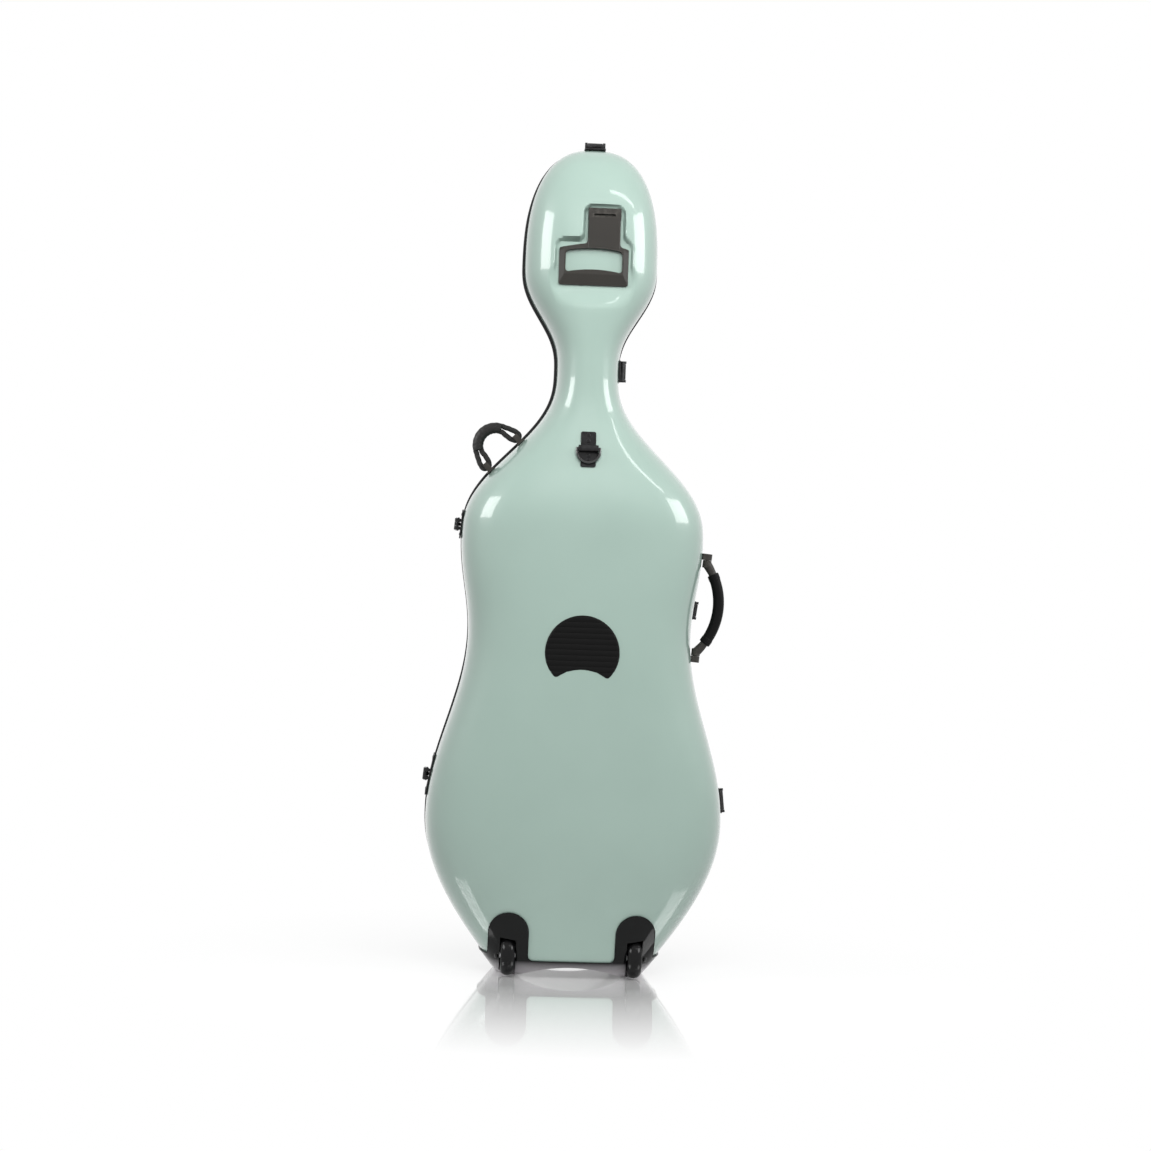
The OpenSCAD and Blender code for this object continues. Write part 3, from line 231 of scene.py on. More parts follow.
def swept(path, rings):
    """Carries rings of offsets (n, k, 2) along a path (n, 3) lying in a plane of constant Y.
    Each point is path + ring x * the path's normal + ring y * the Y axis."""
    step = np.gradient(path, axis=0)
    tangent = step / np.linalg.norm(step, axis=1)[:, None]
    across = np.cross(tangent, [0, 1, 0])
    return path[:, None] + rings[..., :1] * across[:, None] + rings[..., 1:] * np.array([0, 1.0, 0])


def tube_faces(rows, cols, closed=False):
    """Quads of a tube, with its two ends closed by one face each unless the path is closed."""
    sets = [grid_faces(rows, cols, wrap=True)]
    if closed:
        a = (rows - 1) * cols + np.arange(cols)
        b = (rows - 1) * cols + (np.arange(cols) + 1) % cols
        sets.append(np.stack([a, b, b % cols, a % cols], -1))
    else:
        sets += [[list(range(cols))], [list(range((rows - 1) * cols, rows * cols))]]
    return sets


def temporary(mesh):
    """Links a mesh as a scratch object, for modifiers to work on."""
    obj = bpy.data.objects.new("scratch", mesh)
    bpy.context.scene.collection.objects.link(obj)
    return obj


def drop(obj):
    """Removes a scratch object and its mesh."""
    mesh = obj.data
    bpy.data.objects.remove(obj)
    bpy.data.meshes.remove(mesh)


# %% [markdown]
# ## Finishes
# Each finish is a Principled shader whose even values sit on its own sockets. What changes
# over the surface comes from small node groups that several finishes share: fine grain,
# worn edges, dust that settles on upward faces, and woven or napped cloth.

# %% Node group helpers
def new_group(name, inputs, outputs):
    """A node group whose inputs, each with its usual value, and outputs are all numbers."""
    group = bpy.data.node_groups.new(name, "ShaderNodeTree")
    for title, value in inputs.items():
        socket = group.interface.new_socket(title, in_out="INPUT", socket_type="NodeSocketFloat")
        socket.default_value = value
    for title in outputs:
        group.interface.new_socket(title, in_out="OUTPUT", socket_type="NodeSocketFloat")
    return group, group.nodes.new("NodeGroupInput"), group.nodes.new("NodeGroupOutput")


def put(tree, kind, links=(), **values):
    """Adds a node, sets its properties and its inputs by index or name, and links into it."""
    node = tree.nodes.new(kind)
    for key, value in values.items():
        if key.startswith("in_"):
            key = key[3:]
            node.inputs[int(key) if key.isdigit() else key].default_value = value
        else:
            setattr(node, key, value)
    for socket, source in links:
        tree.links.new(source, node.inputs[socket])
    return node


def ramp(tree, source, low, high, a=0.0, b=1.0):
    """Maps source from low..high to a..b and clamps it."""
    node = put(tree, "ShaderNodeMapRange", [("Value", source)])
    for title, value in (("From Min", low), ("From Max", high), ("To Min", a), ("To Max", b)):
        node.inputs[title].default_value = value
    return node.outputs["Result"]


def feed(tree, socket, value):
    """Links value into a node's socket if it is a socket itself, and sets it there if not."""
    if isinstance(value, bpy.types.NodeSocket):
        tree.links.new(value, socket)
    else:
        socket.default_value = value


def times(tree, a, b):
    """The product of a socket and a second socket or a number."""
    node = put(tree, "ShaderNodeMath", [(0, a)], operation="MULTIPLY")
    feed(tree, node.inputs[1], b)
    return node.outputs[0]


def here(tree):
    """The place on the piece, in metres, the same at every pose."""
    return put(tree, "ShaderNodeTexCoord").outputs["Object"]


def noise(tree, where, scale, detail=2.0, **values):
    """Cloudy noise from 0 to 1; its scale is a number or a socket."""
    node = put(tree, "ShaderNodeTexNoise", [("Vector", where)], in_Detail=detail, **values)
    feed(tree, node.inputs["Scale"], scale)
    return node.outputs["Fac"]


def stretched(tree, cloud, a=0.0, b=1.0):
    """A noise mapped to a..b; its values seldom leave the range from 0.3 to 0.7."""
    return ramp(tree, cloud, 0.3, 0.7, a, b)


# %% Shared effects
def build_grain():
    """Height and mask of a moulded or sprayed texture: two sizes of noise on Object coordinates."""
    g, i, o = new_group("grain", {"Scale": 900.0, "Mix": 0.5}, ["Height", "Cloud"])
    where = here(g)
    fine = noise(g, where, i.outputs["Scale"], 3.0, in_Roughness=0.6)
    g.links.new(times(g, fine, i.outputs["Mix"]), o.inputs["Height"])
    g.links.new(noise(g, where, 14.0, 4.0), o.inputs["Cloud"])
    return g


def build_wear():
    """Mask that is 1 on worn outer edges: Pointiness above the middle, broken up by noise."""
    g, i, o = new_group("edge_wear", {"Amount": 0.5}, ["Mask"])
    edge = ramp(g, put(g, "ShaderNodeNewGeometry").outputs["Pointiness"], 0.52, 0.62)
    spots = ramp(g, noise(g, here(g), 160.0, 5.0), 0.42, 0.62)
    g.links.new(times(g, times(g, edge, spots), i.outputs["Amount"]), o.inputs["Mask"])
    return g


def build_dust():
    """Mask of faint dust on faces that look up: the normal's Z, times a cloudy noise."""
    g, i, o = new_group("dust", {"Amount": 0.2}, ["Mask"])
    up = put(g, "ShaderNodeSeparateXYZ", [(0, put(g, "ShaderNodeNewGeometry").outputs["Normal"])])
    facing = ramp(g, up.outputs["Z"], 0.35, 1.0)
    cloud = ramp(g, noise(g, here(g), 60.0, 6.0), 0.35, 0.7)
    g.links.new(times(g, times(g, facing, cloud), i.outputs["Amount"]), o.inputs["Mask"])
    return g


def build_weave():
    """Plain weave on the piece's own UV map: two crossed waves that take turns to lie on top."""
    g, i, o = new_group("weave", {"Threads": 60.0}, ["Height", "Thread"])
    uv = put(g, "ShaderNodeTexCoord").outputs["UV"]
    scaled = put(g, "ShaderNodeVectorMath", [(0, uv), ("Scale", i.outputs["Threads"])], operation="SCALE")
    split = put(g, "ShaderNodeSeparateXYZ", [(0, scaled.outputs[0])])

    across, along = split.outputs["X"], split.outputs["Y"]

    def wave(source):
        return put(g, "ShaderNodeMath", [(0, times(g, source, 2 * pi))], operation="SINE").outputs[0]

    on_top = ramp(g, times(g, wave(times(g, along, 0.5)), wave(times(g, across, 0.5))), -0.2, 0.2)
    height = put(g, "ShaderNodeMix", [(0, on_top), (2, wave(across)), (3, wave(along))])
    g.links.new(ramp(g, height.outputs[0], -1, 1), o.inputs["Height"])
    g.links.new(on_top, o.inputs["Thread"])
    return g


def build_nap():
    """Velvet nap: long soft clouds where the pile was brushed, over a very fine pile height."""
    g, i, o = new_group("nap", {"Scale": 2200.0}, ["Height", "Brushed"])
    where = here(g)
    g.links.new(noise(g, where, i.outputs["Scale"]), o.inputs["Height"])
    brushed = noise(g, where, 9.0, 5.0, in_Distortion=1.2)
    g.links.new(ramp(g, brushed, 0.35, 0.68), o.inputs["Brushed"])
    return g


GRAIN, WEAR, DUST, WEAVE, NAP = build_grain(), build_wear(), build_dust(), build_weave(), build_nap()
print("shared effects", [g.name for g in bpy.data.node_groups])


# %% Material helpers
def srgb(r, g, b):
    """A colour read as a picture shows it, 0 to 255, turned into the shader's linear scale."""
    c = np.array([r, g, b]) / 255
    return tuple(np.where(c <= 0.04045, c / 12.92, ((c + 0.055) / 1.055) ** 2.4).tolist()) + (1.0,)


def shader(name, **values):
    """A new material and its Principled shader, with constants on the shader's own sockets."""
    material = bpy.data.materials.new(name)
    material.use_nodes = True
    principled = material.node_tree.nodes["Principled BSDF"]
    for title, value in values.items():
        principled.inputs[title.replace("_", " ")].default_value = value
    return material, material.node_tree, principled


def group_node(tree, group, **values):
    """One use of a shared effect, with its own values."""
    node = tree.nodes.new("ShaderNodeGroup")
    node.node_tree = group
    for title, value in values.items():
        node.inputs[title].default_value = value
    return node


def mix_colour(tree, fac, a, b):
    """Blends two colours, each a value or a socket, by a mask."""
    node = put(tree, "ShaderNodeMix", [(0, fac)], data_type="RGBA")
    feed(tree, node.inputs[6], a)
    feed(tree, node.inputs[7], b)
    return node.outputs[2]


def bump(tree, principled, height, strength, distance):
    """Lets a height, over a distance in metres, tilt the surface's normal."""
    node = put(tree, "ShaderNodeBump", [("Height", height)], in_Strength=strength, in_Distance=distance)
    tree.links.new(node.outputs["Normal"], principled.inputs["Normal"])


def moulded(name, colour, pale, rough, spread, scale, strength, wear=0.4, dust=0.15,
            distance=0.0002, **more):
    """Plastic, rubber or powder-coated metal: grain in the bump and roughness, worn edges, dust."""
    material, tree, bsdf = shader(name, Roughness=rough, **more)
    grain = group_node(tree, GRAIN, Scale=scale, Mix=1.0)
    worn = group_node(tree, WEAR, Amount=wear)
    dusty = group_node(tree, DUST, Amount=dust)
    tint = mix_colour(tree, stretched(tree, grain.outputs["Cloud"]), colour,
                      tuple(c * 1.25 for c in colour[:3]) + (1.0,))
    tint = mix_colour(tree, worn.outputs["Mask"], tint, pale)
    tint = mix_colour(tree, dusty.outputs["Mask"], tint, srgb(150, 148, 143))
    tree.links.new(tint, bsdf.inputs["Base Color"])
    tree.links.new(stretched(tree, grain.outputs["Cloud"], rough - spread, rough + spread),
                   bsdf.inputs["Roughness"])
    bump(tree, bsdf, grain.outputs["Height"], strength, distance)
    return material


def painted_floor_reflection(material, pale, top, amount):
    """Turns a finish paler below the height top: a painted reflection of the bright floor on a glossy foot.
    """
    tree = material.node_tree
    tint = next(n for n in tree.nodes if n.type == "BSDF_PRINCIPLED").inputs["Base Color"]
    where = put(tree, "ShaderNodeSeparateXYZ", [(0, here(tree))])
    # Painted floor reflection: full strength below 4 mm, gone at the height top.
    mask = ramp(tree, where.outputs["Z"], 0.004, top, amount, 0.0)
    tree.links.new(mix_colour(tree, mask, tint.links[0].from_socket, pale), tint)
    return material


# %% [markdown]
# The shell is a pale mint lacquer under a clear coat. Up close such a coat is never perfectly
# flat: the bump is a wide, very shallow waviness, and the colour coat has a faint mottle. The
# coat itself is only slightly rough, so the lamps draw bright streaks with soft ends in it.

# %% The shell's lacquer
MINT, MINT_SHADE = srgb(152, 175, 165), srgb(148, 171, 161)


def lacquer():
    """Pale mint paint under a clear coat."""
    material, tree, bsdf = shader("mint_lacquer", Roughness=0.34, Coat_Weight=1.0, Coat_Roughness=0.07,
                                  Coat_IOR=1.5, Specular_IOR_Level=0.4)
    where = here(tree)
    dusty = group_node(tree, DUST, Amount=0.05)
    tint = mix_colour(tree, stretched(tree, noise(tree, where, 7.0, 5.0)), MINT, MINT_SHADE)
    tint = mix_colour(tree, dusty.outputs["Mask"], tint, srgb(205, 212, 208))
    tree.links.new(tint, bsdf.inputs["Base Color"])
    bump(tree, bsdf, noise(tree, where, 55.0), 0.25, 0.00012)
    return material


# %% Leather, velvet, webbing and steel
def leather():
    """Wrapped leather: large creases from a stretched Voronoi, fine grain, and a dull shine."""
    material, tree, bsdf = shader("handle_leather", Roughness=0.45, Specular_IOR_Level=0.4)
    where = here(tree)
    cells = put(tree, "ShaderNodeTexVoronoi", [("Vector", where)], in_Scale=420.0)
    creases = noise(tree, where, 90.0, 6.0)
    worn = group_node(tree, WEAR, Amount=0.5)
    tint = mix_colour(tree, creases, srgb(10, 10, 10), srgb(24, 23, 22))
    tint = mix_colour(tree, worn.outputs["Mask"], tint, srgb(60, 58, 55))
    tree.links.new(tint, bsdf.inputs["Base Color"])
    tree.links.new(stretched(tree, creases, 0.36, 0.55), bsdf.inputs["Roughness"])
    bump(tree, bsdf, times(tree, cells.outputs["Distance"], creases), 0.5, 0.0006)
    return material


def velvet(name, dark, pale):
    """Short pile: sheen at grazing angles, brushed clouds in the colour, fine pile in the bump."""
    material, tree, bsdf = shader(name, Roughness=0.9, Sheen_Weight=0.6, Sheen_Roughness=0.4,
                                  Specular_IOR_Level=0.2)
    bsdf.inputs["Sheen Tint"].default_value = (0.75, 0.78, 0.8, 1.0)
    nap = group_node(tree, NAP)
    tree.links.new(mix_colour(tree, nap.outputs["Brushed"], dark, pale), bsdf.inputs["Base Color"])
    bump(tree, bsdf, nap.outputs["Height"], 0.6, 0.0008)
    return material


def webbing():
    """Woven strap: a plain weave on the strap's own UV map, a little shine on the threads."""
    material, tree, bsdf = shader("woven_webbing", Roughness=0.7, Specular_IOR_Level=0.3)
    weave = group_node(tree, WEAVE, Threads=24.0)
    tree.links.new(mix_colour(tree, weave.outputs["Thread"], srgb(20, 20, 22), srgb(34, 34, 37)),
                   bsdf.inputs["Base Color"])
    bump(tree, bsdf, weave.outputs["Height"], 0.8, 0.0005)
    return material


def steel():
    """Turned steel: bright, with fine rings of brushing in the roughness."""
    material, tree, bsdf = shader("turned_steel", Metallic=1.0, Roughness=0.3)
    brush = noise(tree, here(tree), 700.0, 3.0)
    tree.links.new(mix_colour(tree, brush, srgb(150, 150, 152), srgb(196, 196, 198)),
                   bsdf.inputs["Base Color"])
    tree.links.new(stretched(tree, brush, 0.2, 0.42), bsdf.inputs["Roughness"])
    return material


# %% One finish for each slot of the record
FINISHES = {
    "mint_shell": lacquer(),
    "rim_rubber": moulded("rim_rubber_black", srgb(14, 14, 15), srgb(40, 40, 40), 0.42, 0.07, 1500, 0.2,
                          wear=0.2, dust=0.05, Specular_IOR_Level=0.3),
    # The gloss black moulding turns pale grey towards its foot: a painted reflection of the white floor.
    "black_moulding": painted_floor_reflection(
        moulded("gloss_black_moulding", srgb(9, 10, 10), srgb(44, 44, 45), 0.3, 0.05, 500, 0.1,
                wear=0.25, dust=0.02, Specular_IOR_Level=0.0, Coat_Weight=1.0, Coat_Roughness=0.06,
                Coat_IOR=1.28), srgb(196, 192, 196), 0.027, 1.0),
    "black_fittings": moulded("powder_coated_black", srgb(11, 11, 12), srgb(78, 78, 80), 0.36, 0.08, 1900,
                              0.35, wear=0.5, dust=0.04, Specular_IOR_Level=0.3),
    "handle_plastic": moulded("grained_handle_plastic", srgb(40, 38, 35), srgb(88, 85, 80), 0.5, 0.06, 1300,
                              0.5, wear=0.35, dust=0.05, distance=0.0003, Specular_IOR_Level=0.35),
    "wheel_tyre": moulded("tyre_rubber", srgb(10, 10, 11), srgb(34, 34, 34), 0.4, 0.08, 1200, 0.2,
                          wear=0.2, dust=0.03, Specular_IOR_Level=0.0, Coat_Weight=0.9,
                          Coat_Roughness=0.12, Coat_IOR=1.3),
    "wheel_hub": moulded("hub_plastic", srgb(12, 12, 14), srgb(60, 60, 62), 0.3, 0.06, 900, 0.2, wear=0.3,
                         dust=0.05, Specular_IOR_Level=0.4),
    "dark_steel": steel(),
    "ring_steel": moulded("black_ring_steel", srgb(16, 16, 17), srgb(150, 150, 152), 0.22, 0.06, 700, 0.1,
                          wear=0.8, Coat_Weight=0.5, Coat_Roughness=0.1),
    "pad_rubber": moulded("pad_rubber_black", srgb(9, 9, 9), srgb(34, 34, 34), 0.5, 0.07, 1700, 0.4,
                          wear=0.15, dust=0.03, Specular_IOR_Level=0.12),
    "black_leather": leather(),
    "plush": velvet("case_velvet", srgb(52, 55, 60), srgb(74, 78, 84)),
    "foam_cover": velvet("cushion_velvet", srgb(40, 42, 47), srgb(60, 63, 69)),
    "webbing": webbing()}
print("finishes", len(FINISHES))


# %% [markdown]
# ## The two shells
# A real shell is one sheet of plastic drawn over a mould, so it is made here as one fine skin:
# rows up the height, columns round the belly from rim to rim. The columns are spaced evenly
# along the section, and the rows lie closer over the crown and round the handle's recess.

# %% Rows and columns of a shell
def crown_rows(count, o=0):
    """Heights over the crown. They rise with sin(b) to the power 0.8, which spaces points
    evenly on the superellipse while b goes from 0 to a right angle."""
    return HEAD_Z + (CROWN_H - o) * np.sin(np.linspace(0, pi / 2, count)) ** 0.8


def shell_rows(o=0, foot=DECK_Z, fine=True):
    """Heights from the foot to the tip, closer over the crown and round the recess."""
    spans = [(foot, 80, 2.5), (80, 300, 5), (300, 1060, 5), (1060, HEAD_Z, 2)]
    if not fine:
        spans = [(foot, 80, 6), (80, 1060, 10), (1060, HEAD_Z, 5)]
    low = [np.arange(a, b, (b - a) / round((b - a) / s)) for a, b, s in spans]
    return np.concatenate([np.unique(np.concatenate(low).round(6)), crown_rows(96 if fine else 34, o)])


def even_turns(cols, ratio=1.55, n=3.0):
    """Turns from 0 to pi that cut a superellipse into pieces of equal length."""
    t = np.linspace(0, pi, 6001)
    x = ratio * np.sign(np.cos(t)) * np.abs(np.cos(t)) ** (2 / n)
    y = np.sin(t).clip(0) ** (2 / n)
    run = np.concatenate([[0], np.cumsum(np.hypot(np.diff(x), np.diff(y)))])
    return np.interp(np.linspace(0, run[-1], cols), run, t)


def box_distance(x, z, cx, cz, hw, hh, r):
    """Signed distance to a rounded rectangle, negative inside."""
    dx, dz = np.abs(x - cx) - hw + r, np.abs(z - cz) - hh + r
    return np.hypot(dx.clip(0), dz.clip(0)) + np.minimum(np.maximum(dx, dz), 0) - r


FLAP_Z, FLAP_W, FLAP_DROP, FRAME_TALL, STEM_W, STEM_OFF, FLAP_T = 1202, 110, 107, 66, 52, 15, 9
RECESS_GAP, RECESS_Y, PAD_Z = 7, 81.7849, 515


def recess_share(x, z, o=0):
    """1 on the recess floor, 0 on the plain skin, with a soft wall between them. The recess is
    a frame box and a stem box melted together; its wall fades to a long ramp below the flap."""
    body = box_distance(x, z, 0, FLAP_Z - FLAP_DROP + FRAME_TALL / 2, FLAP_W / 2, FRAME_TALL / 2, 8)
    stem = box_distance(x, z, STEM_OFF, FLAP_Z - 16.5, STEM_W / 2, 30.5, 8)
    h = np.clip(0.5 + (body - stem) / 24, 0, 1)
    joined = body + (stem - body) * h - 12 * h * (1 - h)
    fade = np.clip((FLAP_Z - FLAP_DROP + 34 - z) / 46, 0, 1)
    out = 1.5 + 30 * fade ** 2 * (3 - 2 * fade)
    u = np.clip((RECESS_GAP + out - joined + o) / (out + 3.5), 0, 1)
    return u * u * (3 - 2 * u)


def half_skin(stops, rows, turns, o, recess=False):
    """One skin of a half in its own frame: superellipse sections, pressed in at the recess."""
    z = rows[:, None]
    n = 2 / profile(FULLNESS, z)
    w, d = half_width(z, o), np.maximum(depth(stops, z, o) - RIM_H, 0)
    c, s = np.cos(turns)[None], np.sin(turns).clip(0)[None]
    x = w * np.sign(c) * np.abs(c) ** n
    y = -RIM_H - d * s ** n
    z = np.broadcast_to(z, x.shape)
    if recess:
        floor = -(RECESS_Y - o)
        share = np.where((z > 1040) & (y < floor), recess_share(x, z, o), 0)
        y = y + (floor - y) * share
    return np.stack([x, y, z], -1)


FLOOR_ROWS = 33


def hollow_half(stops, outer, inner, foot, cols, recess=False, fine=True):
    """Outer and inner skin, the strips of the mouth, and the two floors, as one closed sheet."""
    turns = even_turns(cols)
    rows_out = shell_rows(outer, foot, fine)
    lift = foot + inner - outer
    rows_in = np.where(rows_out < HEAD_Z, np.maximum(rows_out, lift),
                       HEAD_Z + (rows_out - HEAD_Z) * (CROWN_H - inner) / (CROWN_H - outer))
    rows_in[0] = lift
    keep = np.concatenate([[True], np.diff(rows_in) > 0.01])
    out, inn = (half_skin(stops, rows_out[keep], turns, outer, recess),
                half_skin(stops, rows_in[keep], turns, inner, recess))
    r, size = out.shape[0], out.shape[0] * cols
    v = np.linspace(0, 1, FLOOR_ROWS)[:, None]
    points = [out.reshape(-1, 3), inn.reshape(-1, 3)]
    faces = [grid_faces(r, cols), grid_faces(r, cols, size)]
    for k, skin in enumerate((out, inn)):
        floor = np.repeat(skin[:1], FLOOR_ROWS, 0)
        floor[..., 1] = -RIM_H + (skin[0, :, 1] + RIM_H) * v
        faces.append(grid_faces(FLOOR_ROWS, cols, 2 * size + k * FLOOR_ROWS * cols))
        points.append(floor.reshape(-1, 3))
    edge = np.arange(r) * cols
    for side in (edge, edge + cols - 1):
        faces.append(np.stack([side[:-1], side[1:], side[1:] + size, side[:-1] + size], -1))
    faces.append([[0, size, size + cols - 1, cols - 1]])
    return np.concatenate(points), faces


# %% Wheel places
WHEEL_X, WHEEL_Z, WHEEL_R = 100, 34, 32
WHEEL_Y = float(RIM_Y - depth(BACK, WHEEL_Z) - GUARD_T - 9 + WHEEL_R)
WELL_R, WELL_W, TUB_R, TUB_W = 36, 25.4, 40, 37.4


def in_tub(points, inset_by=0.6):
    """True where a point of the row frame lies inside one of the two wheel tubs' walls."""
    x, y, z = np.moveaxis(points, -1, 0)
    dy, dz = y - WHEEL_Y, z - WHEEL_Z
    round_part = np.hypot(dy, dz) < TUB_R - inset_by
    straight = (np.abs(dy) < TUB_R - inset_by) & (dz < 0)
    return (np.abs(np.abs(x) - WHEEL_X) < TUB_W / 2 - inset_by) & (round_part | straight)


def without_tubs(points, faces):
    """Drops the faces that lie wholly inside a tub: their hole hides within the tub's walls."""
    held = in_tub(points)
    return [np.asarray(f)[~held[np.asarray(f)].all(1)] for f in faces]


print("wheel axis at y", round(WHEEL_Y, 2))

# %% The two shells
points, faces = hollow_half(BACK, 0, WALL, DECK_Z, 190, recess=True)
points = on_back(points)
back_shell = as_object("back_shell_skin", points, without_tubs(points, faces), "back", "mint_shell",
                       ["back_shell"])
points, faces = hollow_half(LID, 0, WALL, DECK_Z, 170)
lid_shell = as_object("lid_shell_skin", on_lid(points), faces, "lid", "mint_shell", ["lid_shell"])
print("shell faces", len(back_shell.data.polygons), len(lid_shell.data.polygons))


# %% [markdown]
# ## The black rims
# Two black profiles close the shells' mouths. A profile of constant section is a sweep: the
# outline is a path with a normal at every point, and the section's points are laid off along
# that normal and along Y. The lid's rim carries the tongue that enters the back's rim.

# %% Outline path and rims
def outline_path(foot=DECK_Z + 0.2, o=0, step=6):
    """Right side up from the foot, over the crown and down on the left, at inset o."""
    z = np.concatenate([np.arange(foot, HEAD_Z, step), crown_rows(60, o)])
    right = np.stack([half_width(z, o), np.zeros_like(z), z], -1)
    return np.concatenate([right, right[-2::-1] * [-1, 1, 1]])


def rounded_ring(o0, o1, y0, y1, radii, n=5):
    """Corners of a rectangle in offset and y, each rounded by its own radius, in turn."""
    corners = [(o0, y0, 180), (o1, y0, 270), (o1, y1, 0), (o0, y1, 90)]
    points = []
    for (o, y, start), r in zip(corners, radii):
        a = np.radians(start + np.linspace(0, 90, n))
        cx, cy = o + r * (1 if o == o0 else -1), y + r * (1 if y == y0 else -1)
        points.append(np.stack([cx + r * np.cos(a), cy + r * np.sin(a)], -1))
    return np.concatenate(points)


# How far the rims stand out beyond the shell: height and millimetres, for each side.
RIM_LEFT = [(22, 0.4), (190, 0.5), (245, 1.2), (290, 2.2), (440, 2.4), (500, 1.6), (560, 0.7), (712, 0.8),
            (745, 2.4), (790, 4.2), (1090, 4.4), (1200, 3.6), (1270, 2.2), (1312, 0.8), (1320, 0.6)]
RIM_RIGHT = [(22, 0.5), (960, 0.7), (1000, 2.0), (1100, 1.8), (1140, 0.7), (1320, 0.6)]


def rim_piece(name, ring, body, slot, node):
    """Sweeps a ring of offsets; its outer points stand out by what each side's list gives."""
    path = outline_path()
    rings = np.array([ring] * len(path))
    proud = np.where(path[:, 0] < 0, np.interp(path[:, 2], *zip(*RIM_LEFT)),
                     np.interp(path[:, 2], *zip(*RIM_RIGHT)))
    outer = np.clip(-rings[..., 0] / RIM_PROUD, 0, 1)
    rings[..., 0] -= outer * (proud[:, None] - RIM_PROUD)
    points = on_back(swept(path, rings).reshape(-1, 3))
    return as_object(name, points, tube_faces(len(path), len(ring)), body, slot, [node])


TONGUE_IN, TONGUE_OUT, TONGUE_H = WALL + 2, WALL + 4, 2.2
back_ring = rounded_ring(-RIM_PROUD, TONGUE_IN - 0.8, -RIM_H, -LID_GAP / 2, (1.1, 0.5, 0.3, 0.5))
lid_box = rounded_ring(-RIM_PROUD, TONGUE_OUT, LID_GAP / 2, RIM_H, (0.5, 0.01, 0.5, 1.1))
lid_ring = np.concatenate([
    lid_box[:5],
    [[TONGUE_IN, LID_GAP / 2], [TONGUE_IN + 0.2, -TONGUE_H + 0.5], [TONGUE_IN + 0.6, -TONGUE_H],
     [TONGUE_OUT - 0.6, -TONGUE_H], [TONGUE_OUT, -TONGUE_H + 0.6]],
    lid_box[10:]])
back_rim = rim_piece("back_rim_profile", back_ring, "back", "rim_rubber", "back_rim")
lid_rim = rim_piece("lid_rim_profile", lid_ring, "lid", "black_moulding", "lid_rim")
print("rim points", len(back_rim.data.vertices), len(lid_rim.data.vertices))


# %% [markdown]
# ## Base guards
# The feet and wheel housings are one black moulding that wraps the foot of the shell. Its
# outside is the shell's own section grown by the wall of the guard, so it is made as a fine
# solid of that section, trimmed to the guard's face and cut by the hollow, slots and arch.

# %% Cutting fine solids
def carve(base, *steps):
    """Applies exact boolean steps, each an operation and a scratch solid, and keeps the mesh."""
    for operation, tool in steps:
        step = base.modifiers.new("step", "BOOLEAN")
        step.operation, step.object, step.solver = operation, tool, "EXACT"
    made = bpy.data.meshes.new_from_object(base.evaluated_get(bpy.context.evaluated_depsgraph_get()))
    for obj in [base] + [tool for _, tool in steps]:
        drop(obj)
    return made


def loft_solid(rings, place=np.array):
    """A closed scratch solid over rings of points, one ring after the other, set in place."""
    rows, cols = rings.shape[:2]
    mesh = mesh_of("scratch", place(rings.reshape(-1, 3)), tube_faces(rows, cols))
    return temporary(cleaned(mesh, outward=True))


def section_block(stops, o, zs, front, place, cols=130):
    """Solid between the section at inset o and the plane y = front, in the row frame."""
    skin = half_skin(stops, np.asarray(zs, float), even_turns(cols), o)
    ends = skin[:, [0, -1]].copy()
    ends[..., 1] = front
    return loft_solid(np.concatenate([ends[:, :1], skin, ends[:, 1:]], 1), place)


def prism(outline, axis, low, high):
    """A flat outline carried straight along one axis; the other two axes take its points."""
    ends = np.zeros((2, len(outline), 3))
    ends[..., [k for k in range(3) if k != axis]] = outline
    ends[0, :, axis], ends[1, :, axis] = low, high
    return loft_solid(ends)


def arc(cx, cz, r, a0, a1, n=20):
    """Points of a circle's arc between two angles in degrees."""
    a = np.radians(np.linspace(a0, a1, n))
    return np.stack([cx + r * np.cos(a), cz + r * np.sin(a)], -1)


# %% Outline of the back guard
SKIRT_MID, SKIRT_SIDE, HOUSING_W, HOUSING_TOP, FILLET = 27, 34, 62, 104, 9
HOUSING_R = HOUSING_W / 2
ARCH_W, ARCH_H = 172, 18
ARCH_R = (ARCH_W ** 2 / 4 + ARCH_H ** 2) / (2 * ARCH_H)


def guard_edge():
    """Upper edge from the middle to the right: skirt, fillet, housing side, top, side, skirt."""
    x = WHEEL_X
    return np.concatenate([
        [[0, SKIRT_MID]], arc(x - HOUSING_R - FILLET, SKIRT_MID + FILLET, FILLET, -90, 0, 8),
        arc(x, HOUSING_TOP - HOUSING_R, HOUSING_R, 180, 0, 40), [[x + HOUSING_R, SKIRT_SIDE]]])


def mirrored_edge(edge):
    """An edge from the middle to the right, run from left to right."""
    return np.concatenate([edge[::-1] * [-1, 1], edge[1:]])


edge = mirrored_edge(guard_edge())
face = np.concatenate([[[-300, -5], [-300, SKIRT_SIDE]], edge, [[300, SKIRT_SIDE], [300, -5]]])
foot_rows = FOOT_ROUND * (1 - np.cos(np.linspace(0, pi / 2, 12)))
skin_rows = np.concatenate([foot_rows, np.arange(FOOT_ROUND + 4, HOUSING_TOP + 6, 4)])
hollow_rows = np.concatenate([[DECK_Z, 24], np.arange(FOOT_ROUND + 2, HOUSING_TOP + 40, 5)])


def arch_cut():
    """The shallow arch between the feet."""
    return prism(arc(0, ARCH_H - ARCH_R, ARCH_R, 0, 360, 181)[:-1], 1, -400, 400)


def slot_cut():
    """The slot that lets the rims down to the deck."""
    high = RIM_H + 0.2
    return prism([[-500, RIM_Y - high], [500, RIM_Y - high], [500, RIM_Y + high], [-500, RIM_Y + high]],
                 2, DECK_Z, SKIRT_SIDE + 40)


